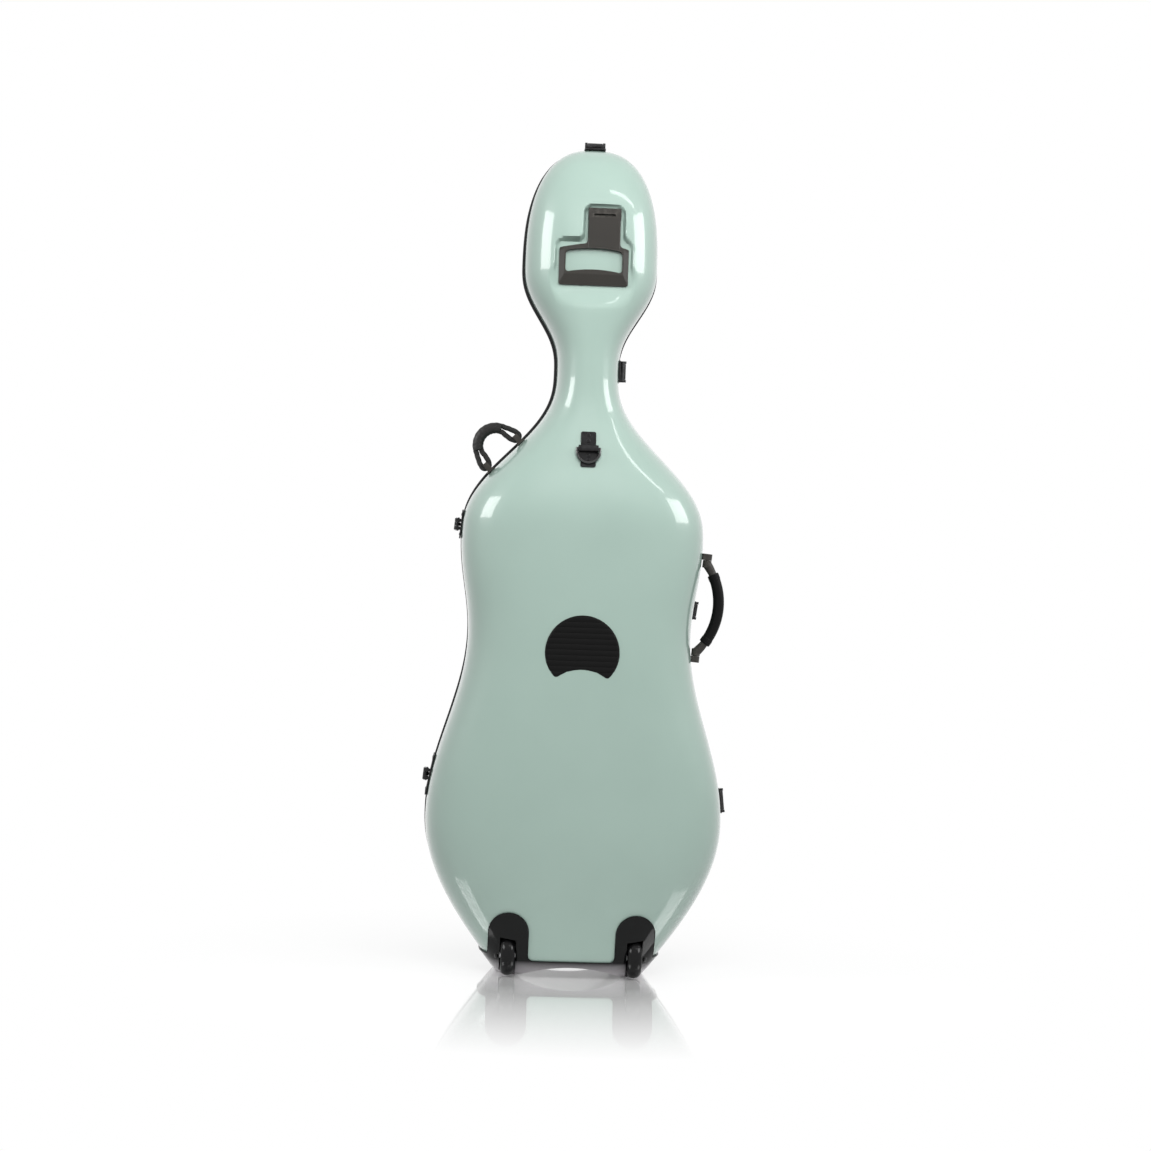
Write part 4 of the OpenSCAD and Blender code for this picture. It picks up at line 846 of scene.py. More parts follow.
def tub_solid(sign):
    """The block round a wheel."""
    shape = np.concatenate([arc(WHEEL_Y, WHEEL_Z, TUB_R, 0, 180, 60),
                            [[WHEEL_Y - TUB_R, DECK_Z - 1], [WHEEL_Y + TUB_R, DECK_Z - 1]]])
    return prism(shape, 0, sign * WHEEL_X - TUB_W / 2, sign * WHEEL_X + TUB_W / 2)


def well_cut(sign):
    """The round well that a wheel turns in."""
    return prism(arc(WHEEL_Y, WHEEL_Z, WELL_R, 0, 360, 97)[:-1], 0, sign * WHEEL_X - WELL_W / 2,
                 sign * WHEEL_X + WELL_W / 2)


# %% The two guards
skirt = carve(section_block(BACK, -GUARD_T, skin_rows, -LID_GAP / 2, on_back),
              ("INTERSECT", prism(face, 1, -300, RIM_Y + 1)),
              ("DIFFERENCE", section_block(BACK, -0.2, hollow_rows, 1, on_back)))
tubs = [carve(section_block(BACK, -GUARD_T, skin_rows, -LID_GAP / 2, on_back),
              ("INTERSECT", tub_solid(s))) for s in (-1, 1)]
guard_mesh = carve(temporary(skirt), *[("UNION", temporary(tub)) for tub in tubs],
                   *[("DIFFERENCE", well_cut(s)) for s in (-1, 1)],
                   ("DIFFERENCE", slot_cut()), ("DIFFERENCE", arch_cut()))
back_guard = tie("base_guard_moulding", guard_mesh, "back", "black_moulding", ["base_guard"], sharp=28)
lid_rows = np.concatenate([foot_rows, [FOOT_ROUND + 4, SKIRT_SIDE]])
guard_mesh = carve(section_block(LID, -GUARD_T, lid_rows, -LID_GAP / 2, on_lid),
                   ("DIFFERENCE", section_block(LID, -0.2, [DECK_Z, 26, 32, 40, 50], 1, on_lid)),
                   ("DIFFERENCE", slot_cut()), ("DIFFERENCE", arch_cut()))
lid_guard = tie("lid_guard_moulding", guard_mesh, "lid", "black_moulding", ["lid_guard"], sharp=28)
print("guard faces", len(back_guard.data.polygons), len(lid_guard.data.polygons))


# %% [markdown]
# A thin raised lip follows the guard's edge and catches the light. It is a small round bead:
# a tube carried along the edge, whose points are dropped onto the guard's skin.

# %% Tubes along any path
def tube(path, radius, sides=12, lean=(0, 1, 0), closed=False):
    """Rings square to the path. radius may change along it (rows) or round it (rows, sides);
    lean is a direction that the path never takes."""
    path = np.asarray(path, float)
    step = np.roll(path, -1, 0) - np.roll(path, 1, 0) if closed else np.gradient(path, axis=0)
    tangent = step / np.linalg.norm(step, axis=1)[:, None]
    across = np.cross(np.broadcast_to(np.asarray(lean, float), tangent.shape), tangent)
    across /= np.linalg.norm(across, axis=1)[:, None]
    up = np.cross(tangent, across)
    a = (2 * pi * np.arange(sides) / sides)[:, None]
    radius = np.asarray(radius, float)
    if radius.ndim == 1:
        radius = radius[:, None]
    r = np.broadcast_to(radius, (len(path), sides))[..., None]
    rings = path[:, None] + r * (np.cos(a) * across[:, None] + np.sin(a) * up[:, None])
    return rings.reshape(-1, 3), tube_faces(len(path), sides, closed)


def joined(*parts):
    """Several point and face sets as one."""
    points, sets, first = [], [], 0
    for p, fs in parts:
        points.append(np.asarray(p, float).reshape(-1, 3))
        sets += [[[i + first for i in f] for f in np.asarray(s).tolist()] for s in fs]
        first += len(points[-1])
    return np.concatenate(points), sets


def placed(place, part):
    """A part's points and faces with its points moved by a map."""
    return place(part[0]), part[1]


def length_along(path):
    """Distance of each point from the path's start."""
    return np.concatenate([[0], np.cumsum(np.linalg.norm(np.diff(path, axis=0), axis=1))])


def smoothed(path, passes):
    """Each pass moves every inner point half way to the middle of its neighbours."""
    for _ in range(passes):
        path[1:-1] = (path[:-2] + 2 * path[1:-1] + path[2:]) / 4
    return path


def resampled(path, step):
    """The same path with points a step apart."""
    path = np.asarray(path, float)
    run = length_along(path)
    s = np.linspace(0, run[-1], max(2, int(run[-1] / step) + 1))
    return np.stack([np.interp(s, run, path[:, k]) for k in range(path.shape[1])], -1)


# %% The guards' lips
LIP_INSET, LIP_R = -GUARD_T + 0.35, 0.95


def skin_bead(stops, edge=None):
    """Bead path on a guard's skin: level round the half, or level only beside a raised edge
    of x and z and over that edge between the two sides."""
    path = half_skin(stops, np.array([float(SKIRT_SIDE)]), even_turns(400), LIP_INSET)[0]
    path = path[path[:, 1] < -RIM_H - 1.5]
    if edge is None:
        return path
    side = path[path[:, 0] > edge[-1, 0]]
    x, z = resampled(mirrored_edge(edge), 1.5).T
    over = np.stack([x, -skin_depth(stops, x, z, LIP_INSET), z], -1)
    return np.concatenate([side[:-1] * [-1, 1, 1], over, side[::-1][1:]])


lip = tube(on_back(skin_bead(BACK, guard_edge())), LIP_R, 10, lean=(0.02, 1, 0.35))
as_object("base_guard_lip", *lip, "back", "black_moulding")
lip = tube(on_lid(skin_bead(LID)), LIP_R, 10, lean=(0, 0, 1))
as_object("lid_guard_lip", *lip, "lid", "black_moulding")


# %% [markdown]
# ## Wheels
# A tyre is turned, so it is made by turning a half profile about its axle. The tyre has a
# rounded tread between two shoulders; the hub keeps the frame's shape and gets a rounded copy with the
# fittings.

# %% Turned pieces
def turned(profile_rx, sides=96):
    """Points of a closed profile, radius and x, turned about the X axis."""
    rx = np.asarray(profile_rx, float)
    a = 2 * pi * np.arange(sides) / sides
    points = np.stack([np.broadcast_to(rx[:, 1], (sides, len(rx))), np.outer(np.cos(a), rx[:, 0]),
                       np.outer(np.sin(a), rx[:, 0])], -1)
    return points.reshape(-1, 3), tube_faces(sides, len(rx), closed=True)


def tyre_profile():
    """Inner face, rounded sides, shoulders with a fine groove, and the crowned tread."""
    tread = arc(WHEEL_R - 14, 0, 14, -50, 50, 33)
    side = np.array([[20.2, 11], [24.5, 11], [25.0, 10.6], [25.6, 10.6], [26.1, 11], [26.56, 11]])
    return np.concatenate([side * [1, -1], tread[np.abs(tread[:, 1]) < 10.6], side[::-1]])


for name, s in (("left", -1), ("right", 1)):
    tyre = placed(lambda p: p + [s * WHEEL_X, WHEEL_Y, WHEEL_Z], turned(tyre_profile(), 120))
    as_object(f"tyre_{name}", *tyre, f"wheel_{name}", "wheel_tyre", [f"wheel_{name}_tyre"], sharp=50)
print("tyre profile points", len(tyre_profile()))


# %% [markdown]
# ## Fittings
# Latches, hinges and plates are already right in shape in the frame. Their copies get what a
# casting or a pressing has and an exact solid has not: a small round along every edge.

# %% Rounded copies of fittings
BODY_OF = {node: body for body, members in frame["record"]["behaviour"]["bodies"].items() for node in members}
SLOT_OF = {part["node"]: part["material_slot"] for part in frame["record"]["subparts"]}
for node, obj in frame["nodes"].items():
    obj.data.materials.clear()
    obj.data.materials.append(FINISHES[SLOT_OF[node]])


def rounded(node, width):
    """A merged copy of a node's mesh with a bevel of some width along its sharp edges."""
    mesh = cleaned(frame["nodes"][node].data.copy(), merge=2e-6, flat=True)
    mesh.materials.clear()
    obj = tie(node + "_rounded", mesh, BODY_OF[node], SLOT_OF[node], [node], sharp=40)
    bevel = obj.modifiers.new("edge_round", "BEVEL")
    bevel.width, bevel.segments = width * 0.001, 2
    bevel.limit_method, bevel.angle_limit = "ANGLE", radians(28)
    bevel.harden_normals = True


ROUNDS = {f"{latch}_latch_{part}": width for latch in ("top", "neck", "waist", "bout")
          for part, width in (("base", 0.5), ("lever", 0.7), ("keeper", 0.5))}
ROUNDS |= {f"hinge_{level}_{half}_leaf": 0.35 for level in ("low", "high") for half in ("back", "lid")}
ROUNDS |= {"strap_anchor_plate": 0.5, "side_handle_anchors": 0.6, "shoulder_handle_anchors": 0.5,
           "head_handle_bracket": 0.6, "wheel_left_hub": 0.5, "wheel_right_hub": 0.5, "bow_clasps": 0.8}
for node, width in ROUNDS.items():
    rounded(node, width)
print("rounded copies made", len(ROUNDS))

# %% Axle caps
def dome(centre, normal, radius, height, sides=28, rings=5):
    """A shallow cap: rings that shrink and rise with the cosine and sine of one quarter turn."""
    n = np.asarray(normal, float) / np.linalg.norm(normal)
    u = np.cross(n, [0, 0, 1] if abs(n[2]) < 0.9 else [1, 0, 0])
    u /= np.linalg.norm(u)
    v = np.cross(n, u)
    b = np.concatenate([[0], np.linspace(0, pi / 2 * 0.92, rings)])
    rise_by = np.concatenate([[-0.8], height * np.sin(b[1:])])
    a = 2 * pi * np.arange(sides) / sides
    shrink = np.where(b > 0, np.cos(b), 1)[:, None, None]
    ring = radius * (np.cos(a)[:, None] * u + np.sin(a)[:, None] * v)
    points = np.asarray(centre, float) + shrink * ring + rise_by[:, None, None] * n
    return points.reshape(-1, 3), tube_faces(rings + 1, sides)


caps = [dome((s * (WHEEL_X + TUB_W / 2 - 0.6), WHEEL_Y, WHEEL_Z), (s, -0.35, 0), 6.2, 2.6)
        for s in (-1, 1)]
as_object("axle_caps", *joined(*caps), "back", "black_moulding", sharp=60)


# %% [markdown]
# ## Reliefs
# Several pieces are plates of a free outline with a modelled face: the head flap, the pad.
# One helper makes them. It lays a fine grid, keeps the cells inside the outline, pulls the
# border points onto it, lifts both faces by their height functions and closes the edge.

# %% Relief helper
def relief(inside, front, back, x_span, z_span, cell=1.0):
    """inside(x, z) is a signed distance, negative within; front and back give y at each point."""
    xs = np.arange(x_span[0] - 2 * cell, x_span[1] + 2.5 * cell, cell)
    zs = np.arange(z_span[0] - 2 * cell, z_span[1] + 2.5 * cell, cell)
    x, z = [g.ravel() for g in np.meshgrid(xs, zs)]
    quads = grid_faces(len(zs), len(xs))
    kept = (inside(x, z) < 0)[quads].all(1)
    border = np.intersect1d(np.unique(quads[kept]), np.unique(quads[~kept]))
    for _ in range(4):
        bx, bz, e = x[border], z[border], 0.05
        d = inside(bx, bz)
        gx = (inside(bx + e, bz) - inside(bx - e, bz)) / (2 * e)
        gz = (inside(bx, bz + e) - inside(bx, bz - e)) / (2 * e)
        size = np.maximum(np.hypot(gx, gz), 0.3) ** 2
        x[border], z[border] = bx - d * gx / size, bz - d * gz / size
    quads = quads[kept]
    used, quads = np.unique(quads, return_inverse=True)
    quads = quads.reshape(-1, 4)
    x, z, n = x[used], z[used], len(used)
    edges = np.concatenate([quads[:, [k, (k + 1) % 4]] for k in range(4)])
    keys = np.sort(edges, 1)
    _, first, count = np.unique(keys, axis=0, return_index=True, return_counts=True)
    rim = edges[first[count == 1]]
    walls = np.stack([rim[:, 0], rim[:, 1], rim[:, 1] + n, rim[:, 0] + n], -1)
    points = np.concatenate([np.stack([x, front(x, z), z], -1), np.stack([x, back(x, z), z], -1)])
    return points, [quads, quads + n, walls]


# %% [markdown]
# ## Head handle
# The flap is a chamfered frame under a flat stem. Its side bars slope outwards and its bottom
# bar slopes down, so the corners are mitred: the height is the least of the slopes that start
# at each outer edge. The window's top and bottom edges are both arched upwards.

# %% Flap
FRAME_LOW = FLAP_Z - FLAP_DROP
WINDOW_LOW, WINDOW_HIGH, WINDOW_W, WINDOW_ARC = FRAME_LOW + 20, FRAME_LOW + 59, 90, 170


def flap_inside(x, z):
    """Frame box, arched shoulders and stem, less the arched window."""
    frame_top = np.where(x < STEM_OFF, 1152.5 + 8.5 * np.clip((x + 55) / 44, 0, 1) ** 0.8,
                         1152.5 + 3.5 * np.clip((55 - x) / 14, 0, 1))
    body = np.maximum(box_distance(x, z, 0, FRAME_LOW + 40, FLAP_W / 2, 40, 3.5), z - frame_top)
    stem = box_distance(x, z, STEM_OFF, FLAP_Z - 26, STEM_W / 2 - 0.4, 29.2, 1.2)
    h = np.clip(0.5 + (body - stem) / 12, 0, 1)
    solid = body + (stem - body) * h - 6 * h * (1 - h)
    sag = WINDOW_ARC - np.sqrt(WINDOW_ARC ** 2 - np.clip(x, -60, 60) ** 2)
    low, high = WINDOW_LOW + 4.0 - 0.75 * sag, WINDOW_HIGH - 0.9 * sag
    mid = (low + high) / 2
    window = box_distance(x, z - mid, 0, 0, WINDOW_W / 2, (WINDOW_HIGH - WINDOW_LOW - 5) / 2, 6)
    return np.maximum(solid, -window)


FLAP_BACK = -(RECESS_Y + 0.4)
FLAP_FRONT = FLAP_BACK - FLAP_T
AXIS_Y = FLAP_BACK - FLAP_T / 2


def flap_front(x, z):
    """Full thickness at the window's edge, less towards the outer edges of the frame."""
    frame_part = np.clip((FRAME_LOW + 62 - z) / 8, 0, 1)
    side = 3.2 + 5.8 * np.clip((FLAP_W / 2 - np.abs(x)) / 8.6, 0, 1)
    low = 3.0 + 6.0 * np.clip((z - FRAME_LOW) / 17, 0, 1)
    frame_height = np.minimum(np.minimum(side, low), FLAP_T)
    stem_edge = np.clip((STEM_W / 2 - 0.4 - np.abs(x - STEM_OFF)) / 1.6, 0, 1)
    stem = np.minimum(7.6 + 1.4 * stem_edge, FLAP_T)
    height = frame_part * frame_height + (1 - frame_part) * stem
    over = np.clip(z - FLAP_Z, 0, 4.4)
    rolled = AXIS_Y - np.sqrt((FLAP_T / 2) ** 2 - over ** 2)
    return np.where(z > FLAP_Z, np.minimum(rolled, AXIS_Y - 3.05), FLAP_BACK - height)


def flap_back(x, z):
    """Flat on the recess floor; at the hinge only a thin cover in front of the bracket's ears."""
    return np.where(z > FLAP_Z - 5, AXIS_Y - 3.0, FLAP_BACK)


def roller(x, profile, sides):
    """A turned piece on the flap's hinge line."""
    return placed(lambda p: p + [x, AXIS_Y, FLAP_Z], turned(profile, sides))


def brick(x0, x1, y0, y1, z0, z1):
    """A plain box as points and faces."""
    points = np.array([[x, y, z] for z in (z0, z1) for y in (y0, y1) for x in (x0, x1)])
    return points, [[[0, 1, 3, 2], [4, 6, 7, 5], [0, 4, 5, 1], [2, 3, 7, 6], [0, 2, 6, 4], [1, 5, 7, 3]]]


plate = relief(flap_inside, flap_front, flap_back, (-56, 56), (FRAME_LOW, FLAP_Z + 4))
half = 16.6
barrel = roller(STEM_OFF, [[0.4, -half], [4.1, -half], [4.5, 0.4 - half], [4.5, half - 0.4],
                           [4.1, half], [0.4, half]], 40)
neck = brick(STEM_OFF - half, STEM_OFF + half, FLAP_FRONT + 0.8, FLAP_BACK - 0.6, FLAP_Z - 7, FLAP_Z - 1)
as_object("head_handle_frame", *placed(on_back, joined(plate, barrel, neck)), "head_handle",
          "handle_plastic", ["head_handle_flap"], sharp=24)


# %% Screwed tab above the flap, with the two ears of its bracket
TAB_ROUND, TAB_HALF, TAB_Z = 1.7, 4.65, FLAP_Z + 10.35


def tab_ring(inset):
    """Cross section of the tab, a box with round corners, drawn in by inset all round."""
    a = 2 * pi * (np.arange(40) + 0.5) / 40
    corner = TAB_ROUND * np.stack([np.cos(a), np.sin(a)], -1)
    return np.sign(corner) * (np.array([TAB_HALF, FLAP_T / 2]) - inset - TAB_ROUND) + corner


ends = np.array([[0, 1.2], [0.3, 0.6], [0.8, 0.2], [1.6, 0]])  # distance from the end, inset there
insets = np.concatenate([ends[:, 1], ends[::-1, 1]])
xs = STEM_OFF + np.concatenate([ends[:, 0] - STEM_W / 2, STEM_W / 2 - ends[::-1, 0]])
path = np.stack([xs, np.full(len(xs), AXIS_Y), np.full(len(xs), TAB_Z)], -1)
rings = swept(path, np.stack([tab_ring(i) for i in insets]))
pieces = [(rings.reshape(-1, 3), tube_faces(*rings.shape[:2]))]
for s in (-1, 1):
    end = STEM_OFF + s * 21.5
    pieces += [roller(end, [[0.4, -4.5], [2.8, -4.5], [2.8, 4.5], [0.4, 4.5]], 28),
               brick(end - 4.4, end + 4.4, AXIS_Y, AXIS_Y + 4.4, FLAP_Z - 2.6, FLAP_Z + 2.6),
               brick(end - 4.4, end + 4.4, AXIS_Y + 3.9, AXIS_Y + 4.35, FLAP_Z - 2.4, FLAP_Z + 7)]
as_object("head_handle_tab", *placed(on_back, joined(*pieces)), "back", "handle_plastic",
          ["head_handle_bracket"], sharp=30)
print("flap and tab done")


# %% [markdown]
# ## Back pad
# The pad is a rubber moulding with rounded ribs across it and a hollow below, like a horseshoe
# cushion. Its height is a run of half-round ribs with narrow grooves, fading at the outline.

# %% Pad
PAD_D, BITE_R, BITE_H, RIB_PITCH, PAD_SINK = 117, 63, 31, 8.7, 1.2
PAD_SEAT = -float(depth(BACK, PAD_Z)) + PAD_SINK


def pad_inside(x, z):
    """A disc, less a larger disc from below, with the corners between them rounded."""
    disc = np.hypot(x, z - PAD_Z) - PAD_D / 2
    bite = BITE_R - np.hypot(x, z - PAD_Z + PAD_D / 2 - BITE_H + BITE_R)
    h = np.clip(0.5 - (disc - bite) / 6, 0, 1)
    return np.maximum(disc, bite) + 3 * h * (1 - h)


def pad_front(x, z):
    """Base sheet of 2 mm, ribs of 1 mm more, and a rolled edge."""
    turn = ((z - PAD_Z) / RIB_PITCH + 0.5) % 1 - 0.5
    rib = np.sqrt(np.clip(1 - (turn / 0.46) ** 2, 0, 1))
    edge = np.clip(-pad_inside(x, z) / 3.0, 0, 1)
    return PAD_SEAT - (1.0 + 1.0 * np.sqrt(edge * (2 - edge)) + 1.1 * rib * edge)


pad = relief(pad_inside, pad_front, lambda x, z: np.full_like(x, PAD_SEAT), (-59, 59),
             (PAD_Z - 59, PAD_Z + 59), 0.87)
as_object("back_pad_ribbed", *placed(on_back, pad), "back", "pad_rubber", ["back_pad"], sharp=50)


# %% [markdown]
# ## Side handle
# The grip is a soft sleeve over a bowed core. Both are tubes along one arc whose radius
# changes: the sleeve ends in two raised collars, and the core swells into its pivot eyes.

# %% Side handle
HANDLE_X, HANDLE_Y, HANDLE_Z, HANDLE_LEAN = 193.123, -43, 590, radians(5.31756)
HANDLE_SPAN, HANDLE_BOW, HANDLE_R, HANDLE_ARC, SLEEVE_ARC = 142, 27, 106.852, 41.6418, 31.4


def at_handle(points):
    """From the handle's own frame: turned about Y by its lean and set on its pivot line."""
    x, y, z = np.moveaxis(np.asarray(points, float), -1, 0)
    c, s = cos(HANDLE_LEAN), sin(HANDLE_LEAN)
    return np.stack([HANDLE_X + x * c + z * s, HANDLE_Y + y, HANDLE_Z - x * s + z * c], -1)


def handle_arc(reach, n):
    """Points of the bow between minus reach and reach, and their angles, in degrees."""
    a = np.radians(np.linspace(-reach, reach, n))
    path = np.stack([HANDLE_BOW - HANDLE_R + HANDLE_R * np.cos(a), 0 * a, HANDLE_R * np.sin(a)], -1)
    return path, np.degrees(a)


def grip_radius(a):
    """9.2 mm with a collar and three fine ridges near each end, rounded off at the very end."""
    end = SLEEVE_ARC - np.abs(a)
    ridges = 0.45 * np.clip(np.cos(2 * pi * end / 1.25), 0, 1) * (end < 5.2) * (end > 0.4)
    collar = 0.5 * np.clip((5.6 - end) / 0.8, 0, 1)
    barrel = 8.4 + collar + ridges + 0.5 * np.cos(np.radians(a * 2.4))
    return barrel * np.clip(0.90 + end / 4, 0, 1)


path, a = handle_arc(SLEEVE_ARC, 170)
sleeve = tube(path, grip_radius(a), 40)
as_object("side_handle_sleeve", *placed(at_handle, sleeve), "side_handle", "pad_rubber",
          ["side_handle_grip"], sharp=50)
path, a = handle_arc(HANDLE_ARC, 90)
swell = np.clip((np.abs(a) - 31) / 9, 0, 1)
core = tube(path, 6.4 + 0.9 * swell * swell * (3 - 2 * swell), 32)


def eye(z):
    """A turned pivot eye along Z with rounded ends."""
    profile = [[0.5, -6], [6.2, -6], [7, -5.2], [7, 5.2], [6.2, 6], [0.5, 6]]
    return placed(lambda p: p[:, [2, 1, 0]] + [0, 0, z], turned(profile, 40))


core = joined(core, eye(-HANDLE_SPAN / 2), eye(HANDLE_SPAN / 2))
as_object("side_handle_bow", *placed(at_handle, core), "side_handle", "handle_plastic",
          ["side_handle_core"], sharp=40)


# %% [markdown]
# ## Shoulder handle
# A leather arch that splits at each end into a loop round its staple. The loops are bound with
# a spiral of leather cord, which a tube gets by swelling along a line that winds round it.

# %% Shoulder handle
SHOULDER_Z, SHOULDER_BACK, SHOULDER_SPAN, SHOULDER_RISE = 822, 22, 66, 53
SHOULDER_END, SHOULDER_IN, SHOULDER_ARC, SHOULDER_R, LOOP_R = 38, 8, radians(61.9275), 28.3333, 4.3
STAPLE_X, BEND_R = 13.95, 6.9
shoulder_tilt = atan(float(slope(OUTLINE, SHOULDER_Z)))


def at_shoulder(points):
    """A place on the left rim: turned with the outline's slope, then mirrored to the left."""
    x, y, z = np.moveaxis(np.asarray(points, float), -1, 0)
    c, s = cos(shoulder_tilt), sin(shoulder_tilt)
    return np.stack([-(float(half_width(SHOULDER_Z)) + x * c + z * s), RIM_Y - SHOULDER_BACK + y,
                     SHOULDER_Z - x * s + z * c], -1)


a = np.linspace(-SHOULDER_ARC, SHOULDER_ARC, 90)
path = np.stack([SHOULDER_RISE - SHOULDER_R + SHOULDER_R * np.cos(a), 0 * a, SHOULDER_R * np.sin(a)], -1)
turns = 2 * pi * np.arange(44) / 44
end = (SHOULDER_ARC - np.abs(a)) * SHOULDER_R
crease = 0.22 * np.cos(3 * turns[None] + 0.9 * np.sin(a[:, None] * 9)) * np.cos(a[:, None] * 23)
radius = (8.7 + 0.25 * np.cos(a * 2))[:, None] * np.clip(0.82 + end / 9, 0, 1)[:, None] + crease
seam = -0.7 * np.exp(-((turns[None] - 1.35) / 0.1) ** 2)
grip = tube(path, radius + seam, 44)
as_object("shoulder_grip_leather", *placed(at_shoulder, grip), "back", "black_leather",
          ["shoulder_handle_grip"], sharp=60)


LOOP_STEP, LOOP_SIDES, CORD_PITCH = 0.8, 28, 5.2


def loop_path(s):
    """Down from the grip's end, round the staple and back up beside itself."""
    start = np.array([STAPLE_X, 0, s * SHOULDER_SPAN / 2])
    finish = np.array([SHOULDER_END, 0, s * (SHOULDER_SPAN / 2 - SHOULDER_IN)])
    along = (finish - start) / np.linalg.norm(finish - start)
    across = np.cross([0, 1, 0], along)
    into = np.array([sin(SHOULDER_ARC), 0, -s * cos(SHOULDER_ARC)])
    beside = (LOOP_R + 0.1) * np.cross([0, 1, 0], into)
    knee, tip = (finish + 2 * start) / 3, finish + 1.0 * into
    turn = np.radians(np.linspace(0, 180, 15))[:, None]
    bend = start + BEND_R * (np.cos(turn) * across - np.sin(turn) * along)
    path = np.concatenate([[tip + beside, tip - 4 * into + beside, knee + BEND_R * across], bend,
                           [knee - BEND_R * across, tip - 4 * into - beside, tip - beside]])
    return smoothed(resampled(path, LOOP_STEP), 14)


loops = []
for s in (-1, 1):
    path = loop_path(s)
    run = np.arange(len(path)) * LOOP_STEP
    turns = 2 * pi * np.arange(LOOP_SIDES) / LOOP_SIDES
    wound = np.abs(np.sin((run[:, None] / CORD_PITCH) * pi / 2 + s * turns[None] / 2))
    loops.append(tube(path, 3.75 + 0.6 * wound ** 0.6, LOOP_SIDES))
as_object("shoulder_loops_bound", *placed(at_shoulder, joined(*loops)), "back", "black_leather",
          ["shoulder_handle_loops"], sharp=60)


# %% [markdown]
# ## Screws, rivets and grip ridges
# Pressed and cast fittings are held by small domed screws. They all come from one dome with a
# few dozen faces, placed in each fitting's own frame, and each body has its own piece.

# %% Frames on the rim
def rim_frame(z, left=False, crown_top=False):
    """Returns the map from a fitting's own frame on the outline to the row frame."""
    b = -pi / 2 if crown_top else atan(float(slope(OUTLINE, z)))
    w, z0 = (0.0, CASE_H) if crown_top else (float(half_width(z)), z)

    def place(points):
        x, y, h = np.moveaxis(np.asarray(points, float), -1, 0)
        out = w + x * cos(b) + h * sin(b)
        return np.stack([-out if left else out, RIM_Y + y, z0 - x * sin(b) + h * cos(b)], -1)
    return place


def screw(place, x, y, z, r=2.1):
    """A screw head on a face that looks along the fitting's own X."""
    return placed(place, dome((x, y, z), (1, 0, 0), r, 0.9, 20, 4))


def rod(place, x, y, reach, r, sides):
    """A round bar along a fitting's own Z, from minus reach to reach."""
    return placed(place, tube([[x, y, -reach], [x, y, 0], [x, y, reach]], r, sides))


PLATE_Y = RIM_H + 0.4  # where the plates of latches and hinges begin beside the rims
LATCHES = {"top": (0, 34, 13, True), "neck": (966, 35, 13, False), "waist": (586, 30, 9, False),
           "bout": (280, 40, 9, False)}
back_screws, lid_screws, bosses = [], [], []
for name, (z, length, tall, on_crown) in LATCHES.items():
    place = rim_frame(z, crown_top=on_crown)
    for s in (-1, 1):
        back_screws.append(screw(place, 2.65, -PLATE_Y - 16.2, s * (length / 2 - 5.5)))
        lid_screws.append(screw(place, 2.65, PLATE_Y + 12.2, s * (length / 2 - 5.0), 1.9))
    lever_x, lever_w = tall - 3.3 - 0.2 + 2.6, length - 10.4
    for x, y, r in ((2.6 + (tall - 6.1) / 2, -17.2, (tall - 6.1) / 2 - 0.1), (2.5, -19.0, 1.4)):
        bosses.append(rod(place, x, y, length / 2 - 2.2, r, 20))
    ridges = [rod(place, lever_x - 0.1, y, lever_w / 2 - 1.6, 0.75, 12) for y in (8.0, 10.6, 13.2)]
    as_object(f"{name}_latch_ridges", *joined(*ridges), f"{name}_latch", "black_fittings")
for z, length in ((309, 66), (712, 46)):
    place = rim_frame(z, left=True)
    for s in (-1, 1):
        for y in (10.5, 21.5):
            back_screws.append(screw(place, 2.35, -PLATE_Y - y, s * (length / 2 - 7)))
            lid_screws.append(screw(place, 2.35, PLATE_Y + y, s * (length / 2 - 7)))
for name, parts, body in (("latch_bosses", bosses, "back"), ("back_screws", back_screws, "back"),
                          ("lid_screws", lid_screws, "lid")):
    as_object(name, *joined(*parts), body, "black_fittings", sharp=50)

# %% Rivets of the strap anchor
ANCHOR_Z = 834
anchor_y, tilt = RIM_Y - float(depth(BACK, ANCHOR_Z)), atan(float(slope(BACK, ANCHOR_Z)))


def at_anchor(points):
    """A place on the back's belly, turned with its slope about X."""
    x, y, h = points.T
    return np.stack([x, anchor_y + y * cos(tilt) - h * sin(tilt),
                     ANCHOR_Z + y * sin(tilt) + h * cos(tilt)], -1)


rivets = [placed(at_anchor, dome((0, -2.65, z), (0, -1, 0), r, 1.3, 24, 5))
          for z, r in ((23, 3.3), (13.5, 3.3), (-10.5, 3.3), (-17, 2.5))]
as_object("strap_anchor_domes", *joined(*rivets), "back", "black_fittings",
          ["strap_anchor_rivets"], sharp=50)
print("fittings dressed")

# %% [markdown]
# ## Inside the case
# Velvet linings follow both shells. The cushions start from the CAD solids, drawn in a little
# and remeshed, and are blown up by a short cloth simulation whose movement is capped, so each
# one swells between its edges and stays in its own space. Piping and channels come last.

# %% Linings
points, faces = hollow_half(BACK, 3.5, 7.4, 25.4, 110, recess=True, fine=False)
points = on_back(points)
back_lining = as_object("back_lining_velvet", points, without_tubs(points, faces), "back", "plush",
                        ["back_lining"], sharp=60)
points, faces = hollow_half(LID, 3.5, 7.4, 25.4, 110, fine=False)
lid_lining = as_object("lid_lining_velvet", on_lid(points), faces, "lid", "plush", ["lid_lining"], sharp=60)
print("lining faces", len(back_lining.data.polygons), len(lid_lining.data.polygons))


